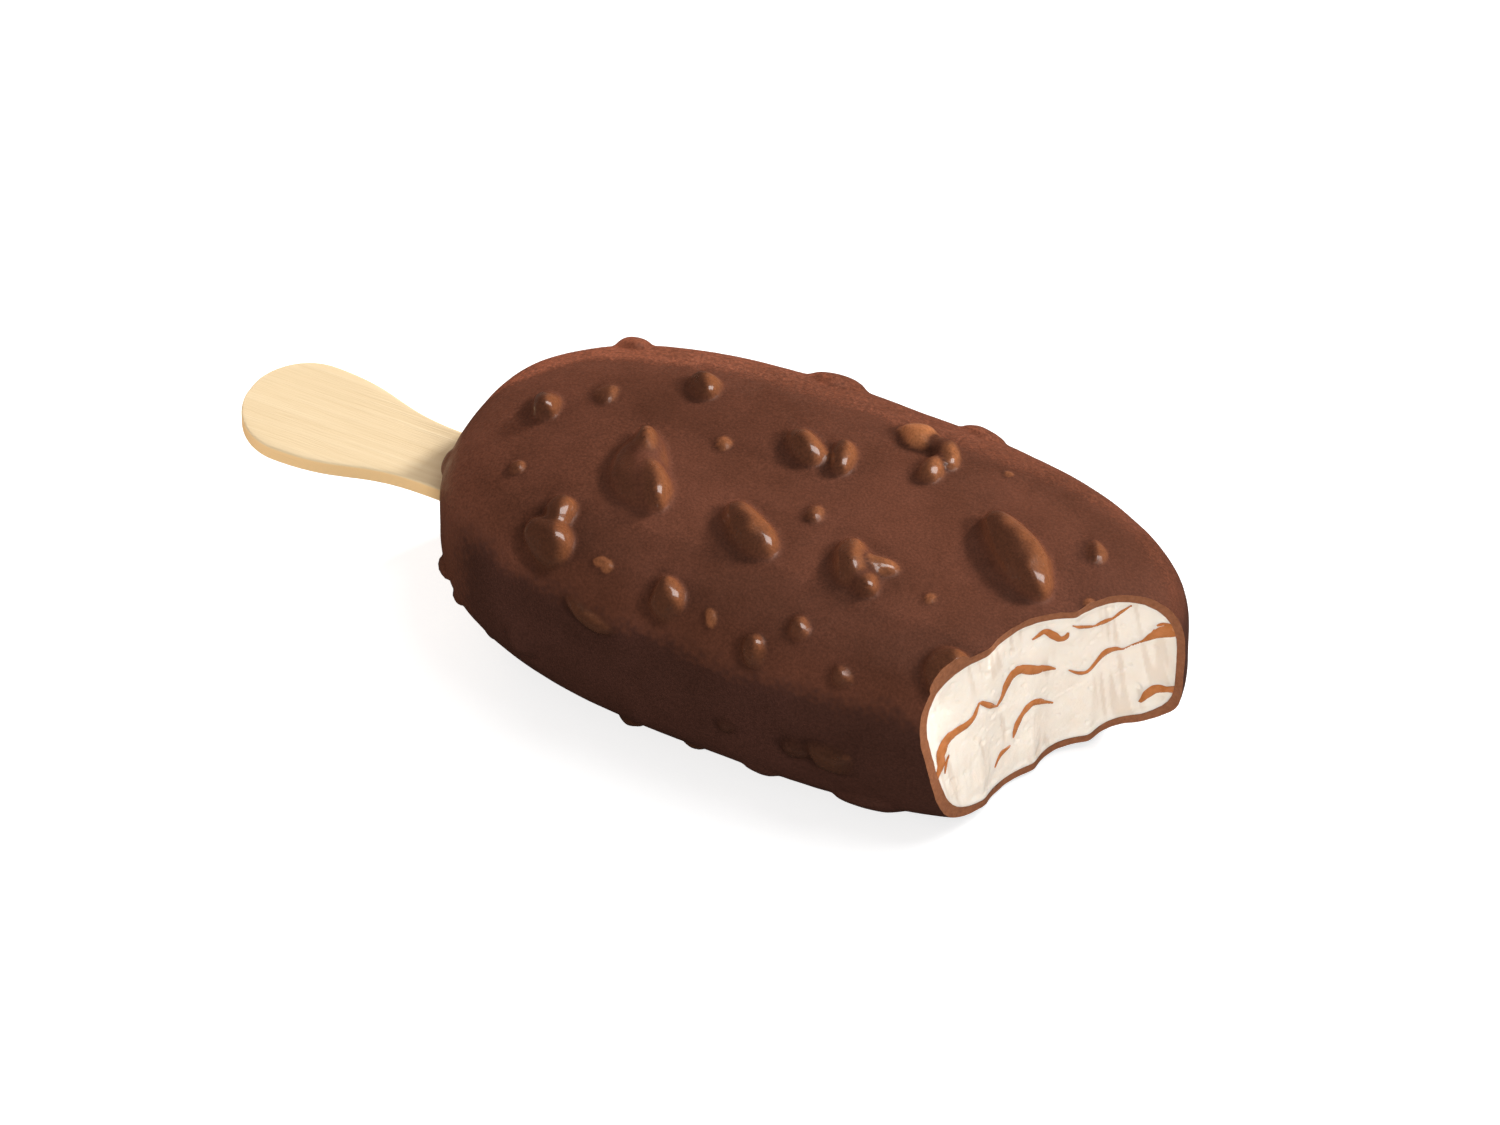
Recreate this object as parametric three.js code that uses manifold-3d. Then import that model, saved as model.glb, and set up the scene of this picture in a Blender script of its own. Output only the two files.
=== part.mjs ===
// A chocolate-coated ice cream bar on a wooden stick, with a bite out of one corner.
//
// Millimetres, +Z up. The bar lies on its flat underside. The origin is on that underside, below the
// middle of the unbitten body. +X runs from the stick to the bitten end, and -Y is the bitten side.
// Inside this file every piece is made about the middle of the body, and the group lifts them all.

import * as THREE from "three";
import { mergeVertices } from "three/addons/utils/BufferGeometryUtils.js";
import { ConvexGeometry } from "three/addons/geometries/ConvexGeometry.js";
import Module from "manifold-3d";

const wasm = await Module();
wasm.setup();

// ---------------------------------------------------------------- driving dimensions

// The body is a superquadric: ((x/a)^plan + (y/b)^plan)^(side/plan) + (z/c)^side = 1.
const HALF_LENGTH = 43.7;
const HALF_WIDTH = 23.0;
const HALF_HEIGHT = 12.8;
const PLAN_POWER = 2.66;
const SIDE_POWER = 3.86;
const FLAT_DEPTH = 0.35; // how far the underside is pressed flat by its own weight
const FLOOR = FLAT_DEPTH - HALF_HEIGHT;

const COATING = 1.0; // thickness of the chocolate
const GAP = 0.3; // clearance between pieces that touch in the real bar
const OUTER_CELL = 4.0;
const INNER_CELL = 5.6;

const STICK = {
  handleEnd: -71.1,
  tip: 3.9,
  middle: -1.85, // the stick sits a little to one side
  turn: THREE.MathUtils.degToRad(-1), // and a little askew
  top: 0.0,
  thickness: 2.0,
  edge: 0.25, // bevel of its edges
  shaftHalfWidth: 4.75,
  handleHalfWidth: 7.55,
  widest: -64.0,
  neck: -46.0,
  roundness: 0.55, // of the handle's end: 0.55 is an ellipse
  curveSegments: 7,
};

// The rows of teeth cut two scalloped outlines, seen from above. Each row is a list of the cusps left
// between two teeth, and how deep each tooth went behind the line that joins its cusps.
const UPPER_ROW = {
  cusps: [[20.6, -30], [23.2, -20.5], [27.3, -11.6], [33.4, -1.9], [43.4, 6.4], [52, 7.4]],
  depths: [0, 0.7, 1.4, 2.2, 0],
};
const LOWER_ROW = {
  cusps: [[23.4, -30], [28.0, -13.3], [30.3, -5.3], [34.1, 0.9], [38.6, 5.0], [44, 4.6], [52, 4.6]],
  depths: [0, 1.0, 1.4, 1.3, 0.9, 0],
};
const ROW_STEPS = 34;
const BITE_LEVELS = 4;
const BITE_REACH = 60; // how far out past the body the cutter runs
const BITE_OVERRUN = 1.2; // and how far above and below it, as a share of its half height
const BITE_BLEND = 0.8; // the two rows blend between these shares of the half height

// Ripples of caramel run into the bar at right angles to the line across the bite. Each is a curve of
// [across, z, thickness], with across counted along that line, and it runs in as far as its end.
const BITE_ANGLE = THREE.MathUtils.degToRad(58); // of that line from +X
const RIPPLE_START = -45; // before the bite
const RIPPLE_END = 8;
const RIPPLE_END_AT_STICK = -8; // a ripple that heads for the stick stops short of its tip
const THINNEST_RIPPLE = 0.4;
const RIPPLE_SIDES = 4; // of its section
const RIPPLE_STEPS = 1.3; // sections for each point of its curve
const RIPPLES = {
  long: {
    end: RIPPLE_END_AT_STICK,
    curve: [
      [-3.6, -2.6, 0.3], [-2.6, -0.2, 0.9], [-1.2, 1.5, 0.9], [1.4, 1.8, 0.7], [3.3, 3.5, 0.3],
      [5.0, 2.4, 0.4], [6.6, 1.7, 0.3], [7.9, 3.5, 0.6], [9.2, 4.5, 0.9], [11.8, 3.4, 0.9],
      [14.3, 2.3, 0.3],
    ],
  },
  right: {
    end: RIPPLE_END,
    curve: [
      [16.0, 1.3, 0.3], [17.8, 0.2, 0.4], [19.5, 0.8, 0.6], [21.2, 1.8, 0.7],
      [22.9, 1.8, 0.4], [24.8, 2.9, 0.5], [26.1, 4.1, 0.9], [27.8, 5.4, 0.8],
    ],
  },
  upper_left: {
    end: RIPPLE_END,
    curve: [[11.4, 8.3, 0.3], [12.7, 8.9, 0.5], [14.1, 7.6, 0.6], [15.3, 7.8, 0.3]],
  },
  upper_right: {
    end: RIPPLE_END,
    curve: [[16.4, 8.6, 0.3], [18.4, 7.4, 0.4], [20.4, 7.1, 0.5], [21.8, 7.4, 0.4], [23.3, 8.4, 0.3]],
  },
  lower: {
    end: RIPPLE_END,
    curve: [[8.8, -5.3, 0.3], [9.6, -2.9, 0.5], [11.2, -1.6, 0.6], [12.7, -2.2, 0.5], [14.5, -3.7, 0.3]],
  },
  lower_left: {
    end: RIPPLE_END,
    curve: [[5.9, -7.8, 0.3], [6.9, -6.8, 0.5], [8.3, -6.4, 0.3]],
  },
  corner: {
    end: RIPPLE_END,
    curve: [[24.7, -6.8, 0.3], [25.7, -5.0, 0.6], [26.8, -4.2, 0.6], [27.8, -3.6, 0.4]],
  },
};

// Pieces of nut under the chocolate: where each lies, [x, y, z] near the surface, and its length, width,
// height above the chocolate and turn in degrees from +X, seen from outside the bar.
const NUTS = [
  { at: [-33.6, 1.0, 11.3], size: [5.0, 3.2, 2.0], turn: -64 },
  { at: [-28.3, 5.4, 12], size: [3.2, 2.6, 0.6], turn: -64 },
  { at: [-19.1, 11.3, 12.3], size: [4.5, 3.8, 1.5], turn: -64 },
  { at: [-20.2, -1.3, 12.7], size: [6.0, 2.8, 2.6], turn: -66 },
  { at: [-19.2, -4.5, 12.6], size: [10.4, 6.0, 1.6], turn: -62 },
  { at: [-32.4, -8.8, 11.2], size: [1.9, 1.6, 0.5], turn: -64 },
  { at: [-24.6, -13.4, 11.6], size: [4.4, 3.3, 1.8], turn: -64 },
  { at: [-24.2, -17.0, 10.4], size: [6.6, 5.0, 2.3], turn: -42 },
  { at: [-8.4, -19.2, 10.5], size: [5.0, 3.8, 1.7], turn: -60 },
  { at: [-3.8, -7.8, 12.7], size: [9.3, 4.3, 2.2], turn: -38 },
  { at: [1.4, -2.2, 12.8], size: [2.4, 1.8, 0.7], turn: -64 },
  { at: [-4.2, 6.8, 12.7], size: [6.6, 3.6, 1.8], turn: -37 },
  { at: [0.2, 7.2, 12.7], size: [5.4, 2.8, 1.6], turn: -64 },
  { at: [6.2, 14.5, 12.2], size: [5.2, 4.0, 1.5], turn: -20 },
  { at: [9.2, 14.0, 12.3], size: [4.2, 2.2, 0.9], turn: -10 },
  { at: [10.6, 12.9, 12.3], size: [4.4, 2.2, 1.4], turn: -64 },
  { at: [9.9, 9.7, 12.6], size: [3.6, 2.5, 1.4], turn: -64 },
  { at: [8.3, -7.2, 12.7], size: [7.4, 3.8, 1.9], turn: -60 },
  { at: [10.9, -6.6, 12.7], size: [5.0, 2.6, 1.2], turn: 22 },
  { at: [11.2, -9.4, 12.6], size: [3.4, 2.4, 1.3], turn: -50 },
  { at: [24.0, 2.1, 12.3], size: [13.2, 5.4, 3.0], turn: -39 },
  { at: [31.2, 7.4, 11.5], size: [3.3, 2.4, 0.7], turn: -64 },
  { at: [7.0, -17.6, 11.3], size: [2.8, 2.0, 0.8], turn: -64 },
  { at: [3.1, -21.2, 9.1], size: [3.8, 3.0, 1.2], turn: -64 },
  { at: [13.7, -20.5, 9.3], size: [2.6, 2.3, 0.8], turn: -64 },
  { at: [24.5, -16.2, 10.8], size: [6.4, 4.8, 1.4], turn: -64 },
  { at: [-30.7, 16.8, 8.8], size: [4.6, 3.3, 1.0], turn: 110 },
  { at: [-7.2, 21.0, 9.2], size: [5.6, 4.8, 1.2], turn: 0 },
  { at: [11.2, 21.0, 9.1], size: [4.4, 3.8, 0.8], turn: 0 },
  { at: [-42.9, -6.0, 5], size: [2.2, 2.0, 0.4], turn: 0 },
  { at: [-40.1, -12.3, -4.9], size: [2.8, 2.4, 0.7], turn: 0 },
  { at: [-37.2, -14.7, -6.3], size: [1.8, 1.6, 0.5], turn: 0 },
  { at: [13.6, -23.0, -1.7], size: [6.2, 3.8, 1.3], turn: -15 },
  { at: [9.4, -23.0, -2], size: [3.0, 2.6, 0.9], turn: 0 },
  { at: [0.8, -23.0, -2], size: [1.9, 1.7, 0.7], turn: 0 },
  { at: [-17.1, -22.2, 6.4], size: [6.4, 2.2, 1.2], turn: -12 },
  { at: [-26.3, -20.8, -2.8], size: [4.2, 3.4, 1.1], turn: 10 },
  { at: [17.0, -20.2, -9.2], size: [7.0, 4.6, 0.8], turn: 5 },
  { at: [4.1, -21.1, -9.2], size: [2.8, 2.4, 0.4], turn: 0 },
  { at: [-16.5, -6.3, 12.6], size: [6.8, 3.4, 2.6], turn: -52 },
];

// The rest of the coating has nuts of the same sizes, strewn at random. The listed ones are all on the
// side that faces LISTED_SIDE.
const STREWN = {
  count: 24,
  smallest: 2.4,
  largest: 7.5,
  skew: 1.8, // above 1 it favours small ones
  narrowest: 0.65, // width as a share of length
  widest: 0.95,
  lowest: 0.3, // height as a share of width
  highest: 0.45,
  spacing: 1.6,
  seed: 7321,
};
const LISTED_SIDE = new THREE.Vector3(0.31, -0.64, 0.71);
const LISTED_MARGIN = -0.3; // least share of the listed side in a surface's slope that keeps it for them
const UNDERSIDE = -0.97; // slope below which nothing is strewn
const AT_STICK = -0.6; // slope of the end that the stick goes in at
const CLEAR_OF_BITE = 23; // distance of the origin from a line that keeps strewn nuts off the bite
const NUT_SINK = 0.25; // share of its height that a nut lies below the surface
const NUT_WOBBLE = 0.07; // how far a nut is from a true ellipsoid
const LARGE_NUT = 8; // nuts longer than this get a finer mesh, and those under SMALL_NUT a coarser one
const SMALL_NUT = 2.7;

const MERGE_DISTANCE = 1e-4;

// ---------------------------------------------------------------- solids and geometries

function solidFrom(geometry) {
  const bare = geometry.clone();
  bare.deleteAttribute("normal");
  bare.deleteAttribute("uv");
  const merged = mergeVertices(bare, MERGE_DISTANCE);
  return new wasm.Manifold(
    new wasm.Mesh({
      numProp: 3,
      vertProperties: merged.attributes.position.array,
      triVerts: new Uint32Array(merged.index.array),
    }),
  );
}

function geometryFrom(solid) {
  const mesh = solid.getMesh();
  const geometry = new THREE.BufferGeometry();
  geometry.setAttribute("position", new THREE.BufferAttribute(mesh.vertProperties, 3));
  geometry.setIndex(new THREE.BufferAttribute(mesh.triVerts, 1));
  geometry.computeVertexNormals();
  return geometry;
}

function joined(solids) {
  return solids.reduce((whole, solid) => whole.add(solid));
}

// A closed solid through rings of points that all have the same count and turn the same way.
function loftFrom(rings) {
  const count = rings[0].length;
  const positions = rings.flat().flatMap((point) => point.toArray());
  const faces = [];
  for (let level = 0; level + 1 < rings.length; level++) {
    for (let i = 0; i < count; i++) {
      const a = level * count + i;
      const b = level * count + ((i + 1) % count);
      faces.push(a, b, b + count, a, b + count, a + count);
    }
  }
  const top = (rings.length - 1) * count;
  const flat = (ring) => ring.map((point) => new THREE.Vector2(point.x, point.y));
  for (const [a, b, c] of THREE.ShapeUtils.triangulateShape(flat(rings[0]), [])) {
    faces.push(c, b, a);
  }
  for (const [a, b, c] of THREE.ShapeUtils.triangulateShape(flat(rings.at(-1)), [])) {
    faces.push(top + a, top + b, top + c);
  }
  const geometry = new THREE.BufferGeometry();
  geometry.setAttribute("position", new THREE.Float32BufferAttribute(positions, 3));
  geometry.setIndex(faces);
  return solidFrom(geometry);
}

// ---------------------------------------------------------------- the body

function halfSizes(inset) {
  return new THREE.Vector3(HALF_LENGTH - inset, HALF_WIDTH - inset, HALF_HEIGHT - inset);
}

// How far out a point lies: below 1 inside the body, 1 on its surface.
function reach(point, half) {
  const plan = Math.abs(point.x / half.x) ** PLAN_POWER + Math.abs(point.y / half.y) ** PLAN_POWER;
  const side = plan ** (SIDE_POWER / PLAN_POWER) + Math.abs(point.z / half.z) ** SIDE_POWER;
  return side ** (1 / SIDE_POWER);
}

function surfacePoint(point, half = halfSizes(0)) {
  return point.clone().divideScalar(reach(point, half));
}

function outwardNormal(point) {
  const step = 1e-3;
  const half = halfSizes(0);
  const slope = (axis) => {
    const ahead = point.clone().setComponent(axis, point.getComponent(axis) + step);
    const behind = point.clone().setComponent(axis, point.getComponent(axis) - step);
    return reach(ahead, half) - reach(behind, half);
  };
  return new THREE.Vector3(slope(0), slope(1), slope(2)).normalize();
}

// The body shrunk by inset on every side, on a grid of about one cell size.
function bodySolid(inset, cell) {
  const half = halfSizes(inset);
  const steps = half.toArray().map((size) => Math.round((2 * size) / cell));
  const geometry = new THREE.BoxGeometry(2, 2, 2, ...steps);
  const position = geometry.getAttribute("position");
  const point = new THREE.Vector3();
  for (let i = 0; i < position.count; i++) {
    point.fromBufferAttribute(position, i).multiply(half);
    const moved = surfacePoint(point, half);
    position.setXYZ(i, moved.x, moved.y, moved.z);
  }
  return solidFrom(geometry);
}

function floorSolid() {
  const slab = new THREE.BoxGeometry(4 * HALF_LENGTH, 4 * HALF_WIDTH, HALF_HEIGHT);
  slab.translate(0, 0, FLOOR - HALF_HEIGHT / 2);
  return solidFrom(slab);
}

// ---------------------------------------------------------------- the bite

// Points evenly spaced along a row of tooth marks.
function rowPoints(row) {
  const marks = new THREE.CurvePath();
  for (let i = 0; i + 1 < row.cusps.length; i++) {
    const from = new THREE.Vector2(...row.cusps[i]);
    const to = new THREE.Vector2(...row.cusps[i + 1]);
    const along = to.clone().sub(from).normalize();
    const inward = new THREE.Vector2(-along.y, along.x);
    const middle = from.clone().lerp(to, 0.5).addScaledVector(inward, 2 * row.depths[i]);
    marks.add(new THREE.QuadraticBezierCurve(from, middle, to));
  }
  return marks.getSpacedPoints(ROW_STEPS);
}

// The upper row cuts the top of the bar and the lower row its underside, and they meet smoothly.
function biteSolid() {
  const upper = rowPoints(UPPER_ROW);
  const lower = rowPoints(LOWER_ROW);
  const rings = [];
  for (let level = 0; level <= BITE_LEVELS; level++) {
    const z = HALF_HEIGHT * BITE_OVERRUN * ((2 * level) / BITE_LEVELS - 1);
    const share = THREE.MathUtils.smoothstep(z, -BITE_BLEND * HALF_HEIGHT, BITE_BLEND * HALF_HEIGHT);
    const wall = lower.map((point, i) => point.clone().lerp(upper[i], share));
    const far = [new THREE.Vector2(BITE_REACH, wall.at(-1).y), new THREE.Vector2(BITE_REACH, wall[0].y)];
    const ring = [...wall.toReversed(), ...far.toReversed()];
    rings.push(ring.map((point) => new THREE.Vector3(point.x, point.y, z)));
  }
  return loftFrom(rings);
}

// ---------------------------------------------------------------- the nuts

// A repeatable row of numbers from 0 to 1.
function randomFrom(seed) {
  const factor = 16807;
  const limit = 2147483647;
  let state = seed;
  return () => {
    state = (state * factor) % limit;
    return state / limit;
  };
}

function apart(at, length, others) {
  return others.every((other) => at.distanceTo(other.at) > (length + other.size[0]) / 2 + STREWN.spacing);
}

// The listed nuts, and those strewn over the far side, the ends and the underside's rounded edge.
function strewnNuts(placed) {
  const random = randomFrom(STREWN.seed);
  const nuts = placed.map((nut) => ({ ...nut, at: surfacePoint(new THREE.Vector3(...nut.at)) }));
  const strewn = [];
  while (strewn.length < STREWN.count) {
    const at = surfacePoint(
      new THREE.Vector3(
        HALF_LENGTH * (2 * random() - 1),
        HALF_WIDTH * (2 * random() - 1),
        HALF_HEIGHT * (2 * random() - 1),
      ),
    );
    const { lerp } = THREE.MathUtils;
    const length = lerp(STREWN.smallest, STREWN.largest, random() ** STREWN.skew);
    const width = length * lerp(STREWN.narrowest, STREWN.widest, random());
    const height = width * lerp(STREWN.lowest, STREWN.highest, random());
    const turn = 180 * random();
    const normal = outwardNormal(at);
    const listed = normal.dot(LISTED_SIDE) > LISTED_MARGIN;
    const underside = normal.z < UNDERSIDE;
    const atBite = at.x * Math.sin(BITE_ANGLE) - at.y * Math.cos(BITE_ANGLE) > CLEAR_OF_BITE;
    const beside = Math.abs(at.y - STICK.middle) < STICK.shaftHalfWidth + length;
    const atStick = beside && normal.x < AT_STICK && Math.abs(at.z) < STICK.thickness + length;
    if (listed || underside || atBite || atStick) continue;
    if (!apart(at, length, [...nuts, ...strewn])) continue;
    strewn.push({ at, size: [length, width, height], turn });
  }
  return [...nuts, ...strewn];
}

// A smooth unevenness of a unit sphere, different for each nut.
function wobbleAt(point, index) {
  return Math.sin(3 * point.x + index) * Math.cos(2.4 * point.y - 2 * index) + Math.sin(4 * point.z);
}

function nutSolid({ at, size, turn }, index) {
  const [length, width, height] = size;
  const detail = (length > SMALL_NUT ? 1 : 0) + (length > LARGE_NUT ? 1 : 0);
  const geometry = new THREE.IcosahedronGeometry(1, detail);
  const position = geometry.getAttribute("position");
  const point = new THREE.Vector3();
  for (let i = 0; i < position.count; i++) {
    point.fromBufferAttribute(position, i);
    point.multiplyScalar(1 + NUT_WOBBLE * wobbleAt(point, index));
    position.setXYZ(i, point.x, point.y, point.z);
  }
  geometry.scale(length / 2, width / 2, height * (1 + NUT_SINK));
  geometry.translate(0, 0, -NUT_SINK * height);
  geometry.rotateZ(THREE.MathUtils.degToRad(turn));

  const normal = outwardNormal(at);
  const along = new THREE.Vector3(1, 0, 0).addScaledVector(normal, -normal.x).normalize();
  const across = normal.clone().cross(along);
  geometry.applyMatrix4(new THREE.Matrix4().makeBasis(along, across, normal).setPosition(at));
  return solidFrom(geometry);
}

// ---------------------------------------------------------------- the stick

// The outline from above, grown by a margin: a straight shaft with a round tip, a neck and a wide handle.
function stickShape(margin) {
  const shaft = STICK.shaftHalfWidth + margin;
  const handle = STICK.handleHalfWidth + margin;
  const end = STICK.handleEnd - margin;
  const tip = STICK.tip + margin;
  const flare = (STICK.neck - STICK.widest) / 2;
  const round = STICK.roundness * (STICK.widest - end);
  const bulge = STICK.roundness * handle;
  const shape = new THREE.Shape();
  shape.moveTo(STICK.neck, -shaft);
  shape.lineTo(tip - shaft, -shaft);
  shape.absarc(tip - shaft, 0, shaft, -Math.PI / 2, Math.PI / 2);
  shape.lineTo(STICK.neck, shaft);
  shape.bezierCurveTo(STICK.neck - flare, shaft, STICK.widest + flare, handle, STICK.widest, handle);
  shape.bezierCurveTo(STICK.widest - round, handle, end, bulge, end, 0);
  shape.bezierCurveTo(end, -bulge, STICK.widest - round, -handle, STICK.widest, -handle);
  shape.bezierCurveTo(STICK.widest + flare, -handle, STICK.neck - flare, -shaft, STICK.neck, -shaft);
  return shape;
}

function stickSolid() {
  const geometry = new THREE.ExtrudeGeometry(stickShape(-STICK.edge), {
    depth: STICK.thickness - 2 * STICK.edge,
    bevelThickness: STICK.edge,
    bevelSize: STICK.edge,
    bevelSegments: 1,
    curveSegments: STICK.curveSegments,
  });
  geometry.rotateZ(STICK.turn);
  geometry.translate(0, STICK.middle, STICK.top - STICK.thickness + STICK.edge);
  return solidFrom(geometry);
}

function stickSlotSolid() {
  const geometry = new THREE.ExtrudeGeometry(stickShape(GAP), {
    depth: STICK.thickness + 2 * GAP,
    bevelEnabled: false,
    curveSegments: STICK.curveSegments,
  });
  geometry.rotateZ(STICK.turn);
  geometry.translate(0, STICK.middle, STICK.top - STICK.thickness - GAP);
  return solidFrom(geometry);
}

// ---------------------------------------------------------------- the caramel

// A ripple is a chain of convex pieces, each from one square section of its curve to the next. It is made
// along +Y and then turned to head into the bar.
function rippleSolid({ curve, end }, margin) {
  const path = new THREE.CatmullRomCurve3(curve.map((point) => new THREE.Vector3(...point)));
  const points = path.getPoints(Math.round(RIPPLE_STEPS * (curve.length - 1)));
  const corners = (point, y, radius) =>
    Array.from({ length: RIPPLE_SIDES }, (_, i) => {
      const angle = (2 * Math.PI * i) / RIPPLE_SIDES;
      return new THREE.Vector3(point.x + radius * Math.cos(angle), y, point.y + radius * Math.sin(angle));
    });
  const rod = (point) => {
    const radius = Math.max(point.z, THINNEST_RIPPLE) / 2 + margin;
    return [...corners(point, RIPPLE_START, radius), ...corners(point, end + margin, radius)];
  };
  const links = [];
  for (let i = 0; i + 1 < points.length; i++) {
    const link = new ConvexGeometry([...rod(points[i]), ...rod(points[i + 1])]);
    links.push(solidFrom(link.rotateZ(BITE_ANGLE)));
  }
  return joined(links);
}

// ---------------------------------------------------------------- the bar

const bite = biteSolid();
const floor = floorSolid();
const slot = stickSlotSolid();

const nuts = strewnNuts(NUTS).map(nutSolid);
const chocolate = joined([bodySolid(0, OUTER_CELL), ...nuts])
  .subtract(bodySolid(COATING, INNER_CELL))
  .subtract(bite)
  .subtract(slot)
  .subtract(floor);

const filling = bodySolid(COATING + GAP, INNER_CELL).subtract(bite);
const ripples = Object.entries(RIPPLES);
const channels = ripples.map(([, ripple]) => rippleSolid(ripple, GAP));
const iceCream = filling.subtract(slot).subtract(joined(channels));

const materials = {
  chocolate: new THREE.MeshStandardMaterial({ color: 0x5e3a2c, roughness: 0.42, metalness: 0 }),
  iceCream: new THREE.MeshStandardMaterial({ color: 0xf6ebdc, roughness: 0.7, metalness: 0 }),
  caramel: new THREE.MeshStandardMaterial({ color: 0xbc6d3b, roughness: 0.25, metalness: 0 }),
  wood: new THREE.MeshStandardMaterial({ color: 0xf4dbb0, roughness: 0.75, metalness: 0 }),
};

function piece(name, solid, material) {
  const mesh = new THREE.Mesh(geometryFrom(solid), material);
  mesh.name = name;
  return mesh;
}

const bar = new THREE.Group();
bar.name = "ice_cream_bar";
bar.position.z = -FLOOR;
bar.add(piece("chocolate_shell", chocolate, materials.chocolate));
bar.add(piece("ice_cream", iceCream, materials.iceCream));
bar.add(piece("stick", stickSolid(), materials.wood));
for (const [name, ripple] of ripples) {
  const solid = rippleSolid(ripple, 0).intersect(filling);
  bar.add(piece("caramel_" + name, solid, materials.caramel));
}

export default bar;
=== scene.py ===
"""A chocolate-coated ice cream bar with nuts, on a wooden stick, with a bite out of one corner.

Lengths are in millimetres about the middle of the bar's body until to_row() turns them into the
row frame's metres.
"""

import math
from collections import namedtuple
from functools import partial

import bmesh
import bpy
import numpy as np
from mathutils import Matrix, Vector


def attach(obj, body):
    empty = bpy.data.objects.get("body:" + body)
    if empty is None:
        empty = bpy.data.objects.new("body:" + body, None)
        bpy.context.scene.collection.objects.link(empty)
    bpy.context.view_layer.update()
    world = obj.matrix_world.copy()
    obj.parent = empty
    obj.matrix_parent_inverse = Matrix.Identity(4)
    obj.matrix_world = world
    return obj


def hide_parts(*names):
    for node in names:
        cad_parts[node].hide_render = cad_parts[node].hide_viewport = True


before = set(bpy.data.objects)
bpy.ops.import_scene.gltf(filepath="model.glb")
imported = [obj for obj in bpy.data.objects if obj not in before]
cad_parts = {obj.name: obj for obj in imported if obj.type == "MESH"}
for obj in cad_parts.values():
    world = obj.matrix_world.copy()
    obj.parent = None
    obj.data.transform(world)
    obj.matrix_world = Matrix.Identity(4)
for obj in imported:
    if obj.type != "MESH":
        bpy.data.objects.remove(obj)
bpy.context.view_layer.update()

# ---- dimensions, as in the solids

HALF = np.array([43.7, 23.0, 12.8])
PLAN_POWER = 2.66
SIDE_POWER = 3.86
FLOOR = 0.35 - HALF[2]
LIFT = -FLOOR

COATING = 1.0

STICK_END = -71.1
STICK_TIP = 3.9
STICK_MIDDLE = -1.85
STICK_TURN = math.radians(-1)
STICK_TOP = 0.0
STICK_THICKNESS = 2.0
STICK_SHAFT = 4.75
STICK_HANDLE = 7.55
STICK_WIDEST = -64.0
STICK_NECK = -46.0
STICK_ROUND = 0.55
STICK_ENTRY = -35  # x past which the coating may be drawn up round it

UPPER_CUSPS = [(20.6, -30), (23.2, -20.5), (27.3, -11.6), (33.4, -1.9), (43.4, 6.4), (52, 7.4)]
UPPER_DEPTHS = [0, 0.7, 1.4, 2.2, 0]
LOWER_CUSPS = [(23.4, -30), (28, -13.3), (30.3, -5.3), (34.1, 0.9), (38.6, 5), (44, 4.6), (52, 4.6)]
LOWER_DEPTHS = [0, 1, 1.4, 1.3, 0.9, 0]
BITE_BLEND = 0.8
BITE_OVERRUN = 1.2
BITE_REACH = 60
ROW_LENGTH = 52  # of a row of tooth marks, about
BITE_ANGLE = math.radians(58)
ACROSS = np.array([math.cos(BITE_ANGLE), math.sin(BITE_ANGLE)])
INWARD = np.array([-math.sin(BITE_ANGLE), math.cos(BITE_ANGLE)])
RIPPLE_START = -45
RIPPLE_END = 8
LONG_END = -8  # short of the stick's tip

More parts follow.
